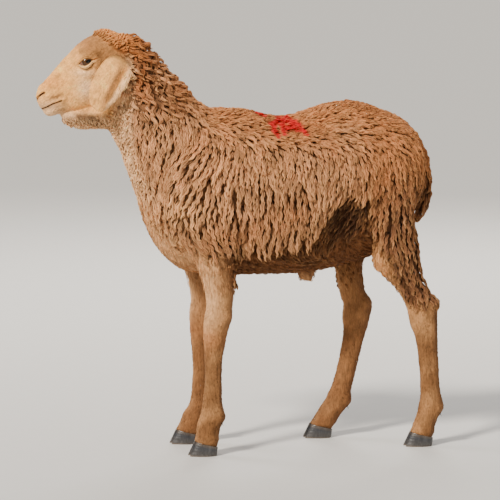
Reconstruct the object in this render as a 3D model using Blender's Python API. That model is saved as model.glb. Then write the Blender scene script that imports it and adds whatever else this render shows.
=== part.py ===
"""A young shorn ram, standing still, at life size.

Metres, +Z up. The origin is on the floor under the middle of the animal, which looks along -X, so
that its left side faces -Y. The flesh is one body of lofts joined together and parted by thin cuts;
the eyes, ears, tail and claws are set into it or under it with a hairline gap.
"""

import math

import bmesh
import bpy
import numpy as np

GAP = 0.0003  # left free between two solids that touch
CUT = 0.0004  # width of the cuts that part the body

# The head and the upper neck look a little to the animal's right.
HEAD_TURN = math.radians(10.0)
TURN_START_X = -0.1865
TURN_LENGTH = 0.070

# Points in the middle plane of the body, as (x, z).
POLL = (-0.2762, 0.8460)
NOSE = (-0.4090, 0.7210)
WITHERS = (-0.0268, 0.6840)
BACK_DIP = (0.1012, 0.6680)
LOIN = (0.1843, 0.6914)
CROUP = (0.2360, 0.6940)
TAIL_HEAD = (0.3460, 0.6420)
CHEST_FRONT = (-0.1860, 0.4300)
BRISKET = (-0.0950, 0.3573)
BELLY = (0.0760, 0.3507)
GROIN = (0.2720, 0.3830)

EYE_RADIUS = 0.0145
EYE = (-0.3175, 0.0400, 0.7795)  # the y is half the distance between the eyes

EAR_CURL = math.radians(52.0)  # half the arc that the ear's section bends through
EAR_PLACES = (0.0, 0.2, 0.45, 0.7, 0.88, 1.0)  # shares of the ear's length, for its girths
EAR_HALF_WIDTHS = (0.0150, 0.0280, 0.0330, 0.0300, 0.0220, 0.0100)
EAR_HALF_DEPTHS = (0.0060, 0.0034, 0.0024, 0.0023, 0.0022, 0.0020)

# Feet, as the middle of each sole (x, y): a claw pair is this long and wide.
FOOT_LENGTH = 0.048
FOOT_WIDTH = 0.044
CLEFT = 0.0024
CORONET_FRONT = 0.028
CORONET_HEEL = 0.0165
FEET = {
    "fore_leg_left": (-0.0961, -0.075),
    "fore_leg_right": (-0.0970, 0.075),
    "hind_leg_left": (0.3513, -0.075),
    "hind_leg_right": (0.1837, 0.075),
}

# The body's cuts, each a line in the middle plane: what lies to its left is cut off.
HEAD_LINE = ((-0.2960, 0.6300), (-0.2320, 0.8500))
NECK_LINE = ((-0.2300, 0.4800), (-0.0700, 0.7300))
FORE_LINE = ((0.0300, 0.3470), (-0.2000, 0.3470))  # just under the brisket
HIND_LINE = ((0.3450, 0.4400), (0.2250, 0.3520))  # just under the groin
LEG_CUT_INNER = 0.034  # the leg cuts reach in to this distance from the middle plane
BLOCK_DEPTH = 0.70

FLEECE = ("wool", (0.42, 0.24, 0.12), 0.95)
HAIR = ("short_hair", (0.62, 0.41, 0.24), 0.85)
HORN = ("hoof_horn", (0.11, 0.11, 0.12), 0.55)
EYEBALL = ("eye", (0.06, 0.035, 0.015), 0.12)


def start_clean():
    for thing in list(bpy.data.objects):
        bpy.data.objects.remove(thing, do_unlink=True)


def new_collection(name):
    collection = bpy.data.collections.new(name)
    bpy.context.scene.collection.children.link(collection)
    return collection


def material(kind):
    name, colour, roughness = kind
    made = bpy.data.materials.get(name)
    if made is None:
        made = bpy.data.materials.new(name)
        made.use_nodes = True
        shader = made.node_tree.nodes["Principled BSDF"]
        shader.inputs["Base Color"].default_value = (*colour, 1.0)
        shader.inputs["Roughness"].default_value = roughness
        shader.inputs["Metallic"].default_value = 0.0
    return made


def add_object(name, mesh, collection, kind=None):
    made = bpy.data.objects.new(name, mesh)
    collection.objects.link(made)
    if kind:
        mesh.materials.append(material(kind))
    return made


def as_guide(thing):
    thing.hide_render = True
    thing.display_type = "WIRE"
    return thing


def through(rows, steps):
    """Catmull-Rom curve through rows of numbers, with this many steps from one row to the next."""
    rows = np.asarray(rows, float)
    padded = np.vstack([2 * rows[0] - rows[1], rows, 2 * rows[-1] - rows[-2]])
    t = np.linspace(0.0, 1.0, steps, endpoint=False)[:, None]
    spans = []
    for a, b, c, d in zip(padded, padded[1:], padded[2:], padded[3:]):
        bend = (2 * a - 5 * b + 4 * c - d) * t**2 + (3 * b - a - 3 * c + d) * t**3
        spans.append(0.5 * (2 * b + (c - a) * t + bend))
    return np.vstack(spans + [rows[-1:]])


def ring(front, back, half_width, widest=0.5, front_power=2.0, back_power=2.0, y=0.0):
    """One section of a loft: two points of the middle plane, and the shape of the oval between them.

    widest is how far from back to front the oval is broadest, and a power over 2 squares that end.
    """
    return (*front, *back, half_width, widest, front_power, back_power, y)


def loft_points(rings, steps, around):
    """The grid of a loft, shape (sections, around, 3): superellipses carried along the rings."""
    rows = through(rings, steps)
    front, back = rows[:, None, 0:2], rows[:, None, 2:4]
    half_width, widest, front_power, back_power, y = (rows[:, k, None] for k in range(4, 9))
    angle = np.linspace(0.0, 2 * math.pi, around, endpoint=False)[None, :]
    forward, sideways = np.cos(angle), np.sin(angle)
    power = np.where(forward > 0, front_power, back_power)
    middle = back + widest[..., None] * (front - back)
    end = np.where(forward[..., None] > 0, front, back)
    plane = middle + (end - middle) * (np.abs(forward) ** (2 / power))[..., None]
    side = y + half_width * np.sign(sideways) * np.abs(sideways) ** (2 / power)
    return np.stack([plane[..., 0], side, plane[..., 1]], axis=-1)


def grid_mesh(name, points):
    """Closes a grid of sections into one mesh: triangles round it, and a fan over each end.

    Every four-sided cell is split along the same diagonal, so a grown copy keeps its distance.
    """
    sections, around = points.shape[:2]
    poles = points[[0, -1]].mean(axis=1)
    every = np.vstack([points.reshape(-1, 3), poles])
    first, last = len(every) - 2, len(every) - 1
    row, column = np.meshgrid(np.arange(sections - 1), np.arange(around), indexing="ij")
    here = row * around + column
    beside = row * around + (column + 1) % around
    lower = np.stack([here, beside, beside + around], axis=-1).reshape(-1, 3)
    upper = np.stack([here, beside + around, here + around], axis=-1).reshape(-1, 3)
    start = np.arange(around)
    following = (start + 1) % around
    top = (sections - 1) * around
    first_fan = np.stack([np.full(around, first), following, start], axis=-1)
    last_fan = np.stack([np.full(around, last), top + start, top + following], axis=-1)
    faces = np.vstack([lower, upper, first_fan, last_fan])
    mesh = bpy.data.meshes.new(name)
    mesh.from_pydata(every.tolist(), [], faces.tolist())
    shell = bmesh.new()
    shell.from_mesh(mesh)
    bmesh.ops.recalc_face_normals(shell, faces=shell.faces)
    shell.to_mesh(mesh)
    shell.free()
    mesh.shade_smooth()
    return mesh


def turn_head(points):
    """Turns points about an upright line at the neck's root, more the further forward they are."""
    points = np.array(points, float)
    share = np.clip((TURN_START_X - points[..., 0]) / TURN_LENGTH, 0.0, 1.0)
    angle = HEAD_TURN * share**2 * (3 - 2 * share)
    x, y = points[..., 0] - TURN_START_X, points[..., 1].copy()
    points[..., 0] = TURN_START_X + x * np.cos(angle) + y * np.sin(angle)
    points[..., 1] = y * np.cos(angle) - x * np.sin(angle)
    return points


def swell(points, centre, reach, height):
    """Pushes points out sideways, away from the middle plane, near a centre on each side of it."""
    mirrored = np.stack([points[..., 0], np.abs(points[..., 1]), points[..., 2]], axis=-1)
    away = (mirrored - np.asarray(centre)) / np.asarray(reach)
    push = height * np.exp(-(away**2).sum(axis=-1))
    points[..., 1] += np.sign(points[..., 1]) * push
    return points


def head_rings():
    return [
        ring((-0.4110, 0.7130), (-0.4080, 0.7000), 0.0080, 0.50),
        ring(NOSE, (-0.4030, 0.6890), 0.0165, 0.50),
        ring((-0.4050, 0.7320), (-0.3940, 0.6760), 0.0230, 0.45, 2.2, 2.2),
        ring((-0.3968, 0.7393), (-0.3820, 0.6712), 0.0270, 0.42, 2.2, 2.4),
        ring((-0.3829, 0.7545), (-0.3638, 0.6759), 0.0290, 0.40, 2.1, 2.4),
        ring((-0.3631, 0.7775), (-0.3401, 0.6777), 0.0320, 0.42, 2.0, 2.3),
        ring((-0.3433, 0.7985), (-0.3125, 0.6785), 0.0400, 0.50, 2.1, 2.0),
        ring((-0.3235, 0.8195), (-0.2868, 0.6794), 0.0500, 0.60, 2.3, 1.8),
        ring((-0.2998, 0.8372), (-0.2611, 0.6911), 0.0530, 0.62, 2.3, 1.8),
        ring(POLL, (-0.2412, 0.7150), 0.0500, 0.60, 2.2, 2.0),
        ring((-0.2486, 0.8350), (-0.2280, 0.7500), 0.0400, 0.55),
    ]


def throat_rings():
    """The loose, curly pouch of skin under the jaw."""
    return [
        ring((-0.3640, 0.6800), (-0.3620, 0.6700), 0.0100),
        ring((-0.3520, 0.6880), (-0.3500, 0.6545), 0.0200),
        ring((-0.3300, 0.6900), (-0.3280, 0.6485), 0.0260),
        ring((-0.3000, 0.7000), (-0.2980, 0.6475), 0.0330),
        ring((-0.2640, 0.7100), (-0.2700, 0.6480), 0.0360),
    ]


def neck_and_trunk_rings():
    return [
        ring((-0.2560, 0.8350), (-0.2960, 0.6700), 0.0440, 0.55),
        ring((-0.2280, 0.8390), (-0.2820, 0.6560), 0.0540, 0.55),
        ring((-0.1940, 0.8210), (-0.2640, 0.6400), 0.0600, 0.52),
        ring((-0.1540, 0.7710), (-0.2457, 0.6058), 0.0660, 0.50),
        ring((-0.1060, 0.7170), (-0.2261, 0.5480), 0.0780, 0.48),
        ring((-0.0700, 0.6890), (-0.2070, 0.4990), 0.0920, 0.46, 1.9, 2.0),
        ring(WITHERS, CHEST_FRONT, 0.1060, 0.44, 1.9, 2.0),
        ring((0.0120, 0.6815), (-0.1462, 0.3789), 0.1140, 0.44, 2.0, 2.1),
        ring((0.0500, 0.6720), BRISKET, 0.1190, 0.44, 2.1, 2.2),
        ring(BACK_DIP, BELLY, 0.1290, 0.46, 2.2, 2.2),
        ring(LOIN, (0.1685, 0.3570), 0.1280, 0.50, 2.3, 2.2),
        ring(CROUP, (0.2250, 0.3680), 0.1200, 0.54, 2.3, 2.1),
        ring((0.2850, 0.6790), GROIN, 0.1090, 0.55, 2.3, 2.0),
        ring((0.3180, 0.6630), (0.3080, 0.4200), 0.0970, 0.55, 2.3, 2.0),
        ring(TAIL_HEAD, (0.3360, 0.4520), 0.0800, 0.52, 2.2, 2.0),
        ring((0.3680, 0.6060), (0.3600, 0.4850), 0.0520, 0.50, 2.0, 2.0),
        ring((0.3750, 0.5650), (0.3735, 0.5250), 0.0200, 0.50, 2.0, 2.0),
    ]


def sheath_rings():
    return [
        ring((0.1030, 0.3680), (0.1050, 0.3560), 0.0060),
        ring((0.1180, 0.3740), (0.1200, 0.3420), 0.0120),
        ring((0.1380, 0.3760), (0.1380, 0.3340), 0.0130),
        ring((0.1600, 0.3780), (0.1580, 0.3480), 0.0090),
    ]


def limb_rings(joints, girths, side):
    """Rings square to a limb's line, from the body down.

    joints are the (x, z) of the limb's joints, and a girth is (how many joints along, how far the
    middle lies behind the line, half depth, half width, distance from the middle plane).
    """
    joints = np.asarray(joints)
    rings = []
    for place, behind, half_depth, half_width, y in girths:
        here = min(int(place), len(joints) - 2)
        at = joints[here] + (place - here) * (joints[here + 1] - joints[here])
        before = joints[max(math.ceil(place) - 1, 0)]
        after = joints[min(math.floor(place) + 1, len(joints) - 1)]
        down = (after - before) / np.linalg.norm(after - before)
        backward = np.array([-down[1], down[0]])
        middle = at + behind * backward
        ends = (middle - half_depth * backward, middle + half_depth * backward)
        rings.append(ring(*map(tuple, ends), half_width, y=side * y))
    return rings


def coronet_ring(foot):
    """The sloping section where a leg ends on its claws."""
    x, y = foot
    front = (x - 0.34 * FOOT_LENGTH, CORONET_FRONT)
    heel = (x + 0.54 * FOOT_LENGTH, CORONET_HEEL)
    return ring(front, heel, FOOT_WIDTH / 2 - 0.0008, 0.5, 2.3, 2.3, y)


FORE_GIRTHS = [
    (0.00, 0.000, 0.066, 0.044, 0.062),
    (0.55, 0.000, 0.058, 0.040, 0.071),
    (1.00, 0.000, 0.043, 0.033, 0.078),
    (1.40, 0.005, 0.0315, 0.027, 0.080),
    (1.70, 0.005, 0.0270, 0.024, 0.079),
    (2.00, 0.000, 0.0265, 0.0225, 0.078),
    (2.16, -0.002, 0.0235, 0.0205, 0.077),
    (2.34, -0.003, 0.0190, 0.0160, 0.076),
    (2.60, -0.001, 0.0175, 0.0145, 0.075),
    (2.84, 0.000, 0.0200, 0.0160, 0.075),
    (3.00, 0.001, 0.0248, 0.0195, 0.075),
    (3.55, 0.000, 0.0245, 0.0195, 0.075),
]

HIND_GIRTHS = [
    (0.00, 0.000, 0.072, 0.048, 0.052),
    (0.55, 0.000, 0.060, 0.044, 0.062),
    (1.00, -0.004, 0.044, 0.037, 0.071),
    (1.35, -0.007, 0.0365, 0.031, 0.076),
    (1.60, -0.009, 0.0310, 0.025, 0.078),
    (1.84, -0.005, 0.0290, 0.0215, 0.078),
    (2.00, 0.000, 0.0318, 0.0215, 0.078),
    (2.14, 0.002, 0.0290, 0.0195, 0.077),
    (2.30, 0.005, 0.0230, 0.0160, 0.076),
    (2.60, 0.005, 0.0205, 0.0145, 0.075),
    (2.84, 0.003, 0.0210, 0.0160, 0.075),
    (3.00, 0.001, 0.0255, 0.0195, 0.075),
    (3.55, 0.000, 0.0225, 0.0195, 0.075),
]

# Shoulder, elbow, knee and fetlock, or hip, stifle, hock and fetlock, then the top of the foot.
LIMBS = {
    "fore_leg_left": (
        [(-0.091, 0.475), (-0.071, 0.385), (-0.0700, 0.260), (-0.0800, 0.078), (-0.0935, 0.030)],
        FORE_GIRTHS,
    ),
    "fore_leg_right": (
        [(-0.086, 0.475), (-0.067, 0.385), (-0.0600, 0.256), (-0.0645, 0.078), (-0.0900, 0.030)],
        FORE_GIRTHS,
    ),
    "hind_leg_left": (
        [(0.272, 0.566), (0.293, 0.462), (0.3545, 0.278), (0.3745, 0.078), (0.3580, 0.030)],
        HIND_GIRTHS,
    ),
    "hind_leg_right": (
        [(0.262, 0.566), (0.2455, 0.432), (0.2660, 0.266), (0.2240, 0.076), (0.1930, 0.030)],
        HIND_GIRTHS,
    ),
}


def claw_mesh(name, foot, side):
    """Half a hoof: a flat sole, and walls that lean in to the sloping coronet."""
    x, y = foot
    half = (FOOT_WIDTH - CLEFT) / 4
    middle = y + side * (CLEFT / 2 + half)
    rings = []
    for share in (0.0, 0.35, 0.7, 1.0):
        front = (x - FOOT_LENGTH * (0.50 - 0.16 * share), share * (CORONET_FRONT - GAP))
        heel = (x + FOOT_LENGTH * (0.50 + 0.03 * share), share * (CORONET_HEEL - GAP))
        rings.append(ring(front, heel, half - 0.0006 * share, 0.45, 1.8, 2.4, middle))
    return grid_mesh(name, loft_points(rings, 1, 12))


def ear_points(side, grow=0.0):
    """A hanging leaf: its line runs out from the head and down, and its section curls round it."""
    line = through(
        [
            (-0.2440, 0.0400, 0.7830),
            (-0.2480, 0.0600, 0.7790),
            (-0.2600, 0.0745, 0.7600),
            (-0.2750, 0.0790, 0.7330),
            (-0.2850, 0.0770, 0.7070),
            (-0.2890, 0.0730, 0.6850),
        ],
        3,
    )
    line[0] -= grow * (line[1] - line[0]) / np.linalg.norm(line[1] - line[0])
    line[-1] += grow * (line[-1] - line[-2]) / np.linalg.norm(line[-1] - line[-2])
    share = np.linspace(0.0, 1.0, len(line))[:, None]
    half_width = np.interp(share, EAR_PLACES, EAR_HALF_WIDTHS)
    half_depth = np.interp(share, EAR_PLACES, EAR_HALF_DEPTHS)
    curl = EAR_CURL * np.interp(share, (0.0, 0.3, 1.0), (0.15, 1.0, 0.8))
    down = np.gradient(line, axis=0)
    down /= np.linalg.norm(down, axis=1, keepdims=True)
    across = np.cross(down, (0.10, 1.0, 0.25))
    across /= np.linalg.norm(across, axis=1, keepdims=True)
    outward = np.cross(across, down)
    angle = np.linspace(0.0, 2 * math.pi, 14, endpoint=False)[None, :]
    radius = half_width / np.sin(curl)
    bend = (curl + grow / radius) * np.cos(angle)
    depth = (half_depth + grow) * np.sign(np.sin(angle)) * np.abs(np.sin(angle)) ** 0.6
    wide = (radius + depth) * np.sin(bend)
    proud = (radius + depth) * np.cos(bend) - radius
    points = line[:, None, :] + wide[..., None] * across[:, None, :]
    points += proud[..., None] * outward[:, None, :]
    points[..., 1] *= side
    return turn_head(points)


def tail_rings(grow=0.0):
    path = [(0.338, 0.652), (0.360, 0.620), (0.376, 0.582), (0.3860, 0.540), (0.3890, 0.500)]
    path += [(0.3830, 0.468), (0.3710, 0.442)]
    depths = (0.010, 0.0150, 0.0155, 0.0150, 0.0135, 0.0110, 0.0060)
    widths = (0.0170, 0.0220, 0.0215, 0.0200, 0.0175, 0.0140, 0.0080)
    girths = [(k, 0.0, depths[k] + grow, widths[k] + grow, 0.0) for k in range(len(path))]
    return limb_rings(path, girths, 1)


def eye_mesh(name, radius):
    shell = bmesh.new()
    bmesh.ops.create_uvsphere(shell, u_segments=12, v_segments=8, radius=radius)
    mesh = bpy.data.meshes.new(name)
    shell.to_mesh(mesh)
    shell.free()
    mesh.shade_smooth()
    return mesh


def eye_place(side):
    return tuple(turn_head((EYE[0], side * EYE[1], EYE[2])))


def half_block(name, line, length, sides, thick, collection):
    """A block to the left of a line in the middle plane, grown over the line by thick.

    length is its extent along the line, and sides are the lowest and highest y.
    """
    shell = bmesh.new()
    bmesh.ops.create_cube(shell, size=1.0)
    mesh = bpy.data.meshes.new(name)
    shell.to_mesh(mesh)
    shell.free()
    start, end = np.asarray(line)
    along = (end - start) / np.linalg.norm(end - start)
    left = np.array([-along[1], along[0]])
    middle = (start + end) / 2 + (BLOCK_DEPTH / 2 - thick) * left
    guide = as_guide(add_object(name, mesh, collection))
    guide.location = (middle[0], (sides[0] + sides[1]) / 2, middle[1])
    guide.rotation_euler = (0.0, math.atan2(-left[1], left[0]), 0.0)
    guide.scale = (BLOCK_DEPTH, sides[1] - sides[0], length)
    return guide


def boolean(thing, operation, other):
    """Joins another solid to this one, or cuts it by the other, and keeps the result as its mesh."""
    step = thing.modifiers.new("step", "BOOLEAN")
    step.operation = operation
    step.solver = "MANIFOLD"
    step.object = other
    bpy.context.view_layer.update()
    graph = bpy.context.evaluated_depsgraph_get()
    made = bpy.data.meshes.new_from_object(thing.evaluated_get(graph))
    thing.modifiers.remove(step)
    thing.data = made


def joined_body(guides):
    """The whole flesh as one closed mesh: the lofts, joined."""
    head = loft_points(head_rings(), 3, 28)
    swell(head, (EYE[0], EYE[1], EYE[2] + 0.006), (0.020, 0.03, 0.016), 0.0050)
    swell(head, (-0.2750, 0.045, 0.7250), (0.028, 0.03, 0.028), 0.0050)
    lofts = {
        "neck_and_trunk_loft": loft_points(neck_and_trunk_rings(), 2, 28),
        "head_loft": head,
        "throat_loft": loft_points(throat_rings(), 1, 12),
        "sheath_loft": loft_points(sheath_rings(), 1, 10),
    }
    for name, (joints, girths) in LIMBS.items():
        side = -1 if name.endswith("left") else 1
        rings = limb_rings(joints, girths, side) + [coronet_ring(FEET[name])]
        lofts[name + "_loft"] = loft_points(rings, 1, 14)
    pieces = []
    for name, points in lofts.items():
        pieces.append(as_guide(add_object(name, grid_mesh(name, turn_head(points)), guides)))
    body = pieces[0]
    for piece in pieces[1:]:
        boolean(body, "UNION", piece)
    return body.data


def main():
    start_clean()
    sheep = new_collection("shorn_sheep")
    guides = new_collection("cutters")
    flesh = joined_body(guides)

    def flesh_node(name, kind):
        return add_object(name, flesh.copy(), sheep, kind)

    whole_width = (-0.35, 0.35)
    head_block = half_block("head_block", HEAD_LINE, 0.7, whole_width, 0.0, guides)
    head_block_grown = half_block("head_block_grown", HEAD_LINE, 0.7, whole_width, CUT, guides)
    neck_block = half_block("neck_block", NECK_LINE, 0.7, whole_width, 0.0, guides)
    neck_block_grown = half_block("neck_block_grown", NECK_LINE, 0.7, whole_width, CUT, guides)

    head = flesh_node("head", HAIR)
    boolean(head, "INTERSECT", head_block)
    neck = flesh_node("neck", FLEECE)
    boolean(neck, "INTERSECT", neck_block)
    boolean(neck, "DIFFERENCE", head_block_grown)
    trunk = flesh_node("trunk", FLEECE)
    boolean(trunk, "DIFFERENCE", neck_block_grown)

    for name, foot in FEET.items():
        side = -1 if name.endswith("left") else 1
        line, length = (FORE_LINE, 0.25) if name.startswith("fore") else (HIND_LINE, 0.72)
        sides = sorted((side * LEG_CUT_INNER, side * 0.30))
        leg = flesh_node(name, HAIR)
        boolean(leg, "INTERSECT", half_block(name + "_block", line, length, sides, 0.0, guides))
        grown = half_block(name + "_block_grown", line, length, sides, CUT, guides)
        boolean(trunk, "DIFFERENCE", grown)
        for claw, inward in (("inner", -side), ("outer", side)):
            mesh = claw_mesh(f"{name}_{claw}_claw", foot, inward)
            add_object(mesh.name, mesh, sheep, HORN)

    tail = grid_mesh("tail", loft_points(tail_rings(), 1, 12))
    add_object("tail", tail, sheep, HAIR)
    tail_space = grid_mesh("tail_space", loft_points(tail_rings(2 * GAP), 1, 12))
    boolean(trunk, "DIFFERENCE", as_guide(add_object("tail_space", tail_space, guides)))

    for word, side in (("left", -1), ("right", 1)):
        add_object("ear_" + word, grid_mesh("ear_" + word, ear_points(side)), sheep, HAIR)
        ear_space = grid_mesh("ear_space_" + word, ear_points(side, 2 * GAP))
        ear_guide = as_guide(add_object("ear_space_" + word, ear_space, guides))
        eye = add_object("eye_" + word, eye_mesh("eye_" + word, EYE_RADIUS), sheep, EYEBALL)
        socket_mesh = eye_mesh("socket_" + word, EYE_RADIUS + GAP)
        socket = as_guide(add_object("socket_" + word, socket_mesh, guides))
        for ball in (eye, socket):
            ball.location = eye_place(side)
        for thing in (head, neck):
            boolean(thing, "DIFFERENCE", ear_guide)
        boolean(head, "DIFFERENCE", socket)


main()
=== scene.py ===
# %% [markdown]
# # A young brown ram, standing still, at life size
#
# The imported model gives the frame: metres, +Z up, the sheep looking along -X, its left side
# towards -Y. This lesson builds its looks in that frame: one skin over all the flesh, real eyes,
# horn claws, and a coat of several thousand wavy locks, each made of thin tapering strands.

# %% Load the frame
import math

import bmesh
import bpy
import numpy as np
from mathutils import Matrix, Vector, bvhtree, kdtree


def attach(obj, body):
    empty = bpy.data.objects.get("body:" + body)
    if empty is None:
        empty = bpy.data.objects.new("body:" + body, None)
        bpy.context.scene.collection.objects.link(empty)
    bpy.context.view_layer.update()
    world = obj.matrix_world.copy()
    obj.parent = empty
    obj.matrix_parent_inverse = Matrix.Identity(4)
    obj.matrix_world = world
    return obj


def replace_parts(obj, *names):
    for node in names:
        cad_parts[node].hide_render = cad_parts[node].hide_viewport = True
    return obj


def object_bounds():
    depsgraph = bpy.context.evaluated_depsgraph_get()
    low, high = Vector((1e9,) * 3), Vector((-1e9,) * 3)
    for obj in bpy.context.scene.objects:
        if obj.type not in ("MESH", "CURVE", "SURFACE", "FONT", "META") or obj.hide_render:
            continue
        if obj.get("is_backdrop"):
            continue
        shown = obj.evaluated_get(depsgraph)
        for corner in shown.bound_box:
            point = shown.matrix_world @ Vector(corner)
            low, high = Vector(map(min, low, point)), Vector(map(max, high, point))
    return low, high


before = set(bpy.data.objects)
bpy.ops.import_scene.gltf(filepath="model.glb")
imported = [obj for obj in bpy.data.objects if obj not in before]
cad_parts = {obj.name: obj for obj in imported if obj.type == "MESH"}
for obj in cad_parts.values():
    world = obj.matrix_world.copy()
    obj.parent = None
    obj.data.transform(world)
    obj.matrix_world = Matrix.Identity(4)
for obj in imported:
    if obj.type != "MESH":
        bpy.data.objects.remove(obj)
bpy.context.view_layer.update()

rng = np.random.default_rng(20)

# %% [markdown]
# ## Small tools
#
# Every surface below is a grid of points worked out as a whole array, or a field of numbers over
# the points of one. These tools carry a section along rows of numbers, join a grid into a closed
# mesh, and give smooth bumps, lines and noise in space. Places in tables are in millimetres.

# %% Curves and grids
WHOLE_TURN = 2 * math.pi
ANY_Y = 9000  # a reach across the body, in mm, so wide that y makes no difference


def mm(*values):
    """Millimetres as metres."""
    return np.array(values, float) / 1000


def unit(vectors):
    """Each vector divided by its length."""
    return vectors / np.maximum(np.linalg.norm(vectors, axis=-1, keepdims=True), 1e-12)


def through(rows, steps):
    """Catmull-Rom curve through rows: 0.5 (2b + (c-a) t + (2a-5b+4c-d) t^2 + (3b-a-3c+d) t^3)."""
    rows = np.asarray(rows, float)
    padded = np.vstack([2 * rows[0] - rows[1], rows, 2 * rows[-1] - rows[-2]])
    t = np.linspace(0.0, 1.0, steps, endpoint=False)[:, None]
    spans = []
    for a, b, c, d in zip(padded, padded[1:], padded[2:], padded[3:]):
        bend = (2 * a - 5 * b + 4 * c - d) * t**2 + (3 * b - a - 3 * c + d) * t**3
        spans.append(0.5 * (2 * b + (c - a) * t + bend))
    return np.vstack(spans + [rows[-1:]])


def ring(front, back, half_width, widest=0.5, front_power=2.0, back_power=2.0, y=0.0):
    """One section: its ends in the middle plane, its half width, and how square its ends are."""
    return (*front, *back, half_width, widest, front_power, back_power, y)


def rings_of(*rows):
    """Sections from rows in mm: front x, z, back x, z and half width, then what else ring takes."""
    return [ring(mm(*row[:2]), mm(*row[2:4]), row[4] / 1000, *row[5:]) for row in rows]


def loft(rings, steps, around):
    """Superellipses |cos|^(2/p), |sin|^(2/p) along the rings; shape (sections, around, 3)."""
    rows = through(rings, steps)
    front, back = rows[:, None, 0:2], rows[:, None, 2:4]
    half_width, widest, front_power, back_power, y = (rows[:, k, None] for k in range(4, 9))
    angle = np.linspace(0.0, WHOLE_TURN, around, endpoint=False)[None, :]
    forward, sideways = np.cos(angle), np.sin(angle)
    power = np.where(forward > 0, front_power, back_power)
    middle = back + widest[..., None] * (front - back)
    end = np.where(forward[..., None] > 0, front, back)
    plane = middle + (end - middle) * (np.abs(forward) ** (2 / power))[..., None]
    side = y + half_width * np.sign(sideways) * np.abs(sideways) ** (2 / power)
    return np.stack([plane[..., 0], side, plane[..., 1]], axis=-1)


def inset(rings, front_depths, back_depths, side_depths):
    """Draws each ring in by the coat's depth in mm at its front end, its back end and its sides."""
    made = []
    for row, *depths in zip(rings, front_depths, back_depths, side_depths):
        front_in, back_in, side_in = mm(*depths)
        front, back = np.array(row[0:2]), np.array(row[2:4])
        line = unit(front - back)
        half_width = max(row[4] - side_in, 0.004)
        made.append((*(front - front_in * line), *(back + back_in * line), half_width, *row[5:]))
    return made


def grid_faces(sections, around):
    """Quads round a grid, and a fan of triangles from an extra point over each end."""
    row, column = np.meshgrid(np.arange(sections - 1), np.arange(around), indexing="ij")
    here, beside = row * around + column, row * around + (column + 1) % around
    quads = np.stack([here, beside, beside + around, here + around], axis=-1).reshape(-1, 4)
    start, following = np.arange(around), (np.arange(around) + 1) % around
    first, last, top = sections * around, sections * around + 1, (sections - 1) * around
    ends = [np.stack([np.full(around, first), following, start], axis=-1)]
    ends += [np.stack([np.full(around, last), top + start, top + following], axis=-1)]
    return quads, np.vstack(ends)


def outward(points, quads, fans):
    """Turns the faces of a closed grid over if they look inward, by the sign of its volume."""
    triangles = np.vstack([quads[:, [0, 1, 2]], quads[:, [0, 2, 3]], fans])
    a, b, c = (points[triangles[:, k]] for k in range(3))
    if np.einsum("ij,ij->i", a, np.cross(b, c)).sum() < 0:
        return quads[:, ::-1], fans[:, ::-1]
    return quads, fans


def mesh_from(name, points, quads, fans=np.empty((0, 3), int)):
    """A mesh from arrays of points, four-sided faces and three-sided faces."""
    mesh = bpy.data.meshes.new(name)
    mesh.vertices.add(len(points))
    mesh.vertices.foreach_set("co", np.ascontiguousarray(points, np.float32).ravel())
    mesh.loops.add(quads.size + fans.size)
    corners = np.concatenate([quads.ravel(), fans.ravel()]).astype(np.int32)
    mesh.loops.foreach_set("vertex_index", corners)
    starts = [np.arange(len(quads)) * 4, quads.size + np.arange(len(fans)) * 3]
    mesh.polygons.add(len(quads) + len(fans))
    mesh.polygons.foreach_set("loop_start", np.concatenate(starts).astype(np.int32))
    mesh.update(calc_edges=True)
    mesh.validate()
    mesh.shade_smooth()
    return mesh


def closed_mesh(name, *grids):
    """One mesh of closed shells: grids of sections with their ends capped and faces outward."""
    points, quads, fans, count = [], [], [], 0
    for grid in grids:
        every = np.vstack([grid.reshape(-1, 3), grid[[0, -1]].mean(axis=1)])
        four, three = outward(every, *grid_faces(*grid.shape[:2]))
        points.append(every)
        quads.append(four + count)
        fans.append(three + count)
        count += len(every)
    return mesh_from(name, *map(np.vstack, (points, quads, fans)))


def with_ends(values, shape, first=0.0, last=0.0):
    """A grid's values in one row, then those of the points that cap its ends."""
    return np.append(np.broadcast_to(values, shape).ravel(), (first, last))


def add_object(name, data):
    """A new object in the scene."""
    made = bpy.data.objects.new(name, data)
    bpy.context.scene.collection.objects.link(made)
    return made


def add_piece(name, mesh, look):
    """Links a mesh as a piece of the sheep, riding on its one body, with its material."""
    mesh.materials.clear()
    mesh.materials.append(look)
    piece = add_object(name, mesh)
    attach(piece, "root")
    return piece


# %% Fields over points
def ease(value, low, high):
    """Smooth step from 0 at low to 1 at high: 3 t^2 - 2 t^3."""
    t = np.clip((value - low) / (high - low), 0.0, 1.0)
    return t * t * (3 - 2 * t)


def bell(value, width):
    """exp(-(value / width)^2): 1 at 0, and almost nothing beyond twice the width."""
    return np.exp(-((value / width) ** 2))


def mirrored(points):
    """Points of both sides laid over the right side, where y is above 0."""
    return np.stack([points[..., 0], np.abs(points[..., 1]), points[..., 2]], axis=-1)


def near(points, centre, reach):
    """exp(-|(p - centre) / reach|^2), the same on both sides of the body; both in millimetres."""
    away = (mirrored(points) - mm(*centre)) / mm(*reach)
    return np.exp(-(away**2).sum(axis=-1))


def bumps(points, table):
    """The sum of amount * near(centre, reach) over the rows of a table."""
    return sum(amount * near(points, centre, reach) for centre, reach, amount in table)


def line_distance(points, line):
    """Distance from each point, on either side, to a line of points, and the share along it."""
    points = mirrored(points)
    best, share = np.full(len(points), 9.0), np.zeros(len(points))
    for k, (start, end) in enumerate(zip(line, line[1:])):
        run = end - start
        t = np.clip(((points - start) @ run) / (run @ run), 0.0, 1.0)
        away = np.linalg.norm(points - start - t[:, None] * run, axis=1)
        closer = away < best
        best = np.where(closer, away, best)
        share = np.where(closer, (k + t) / (len(line) - 1), share)
    return best, share


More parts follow.
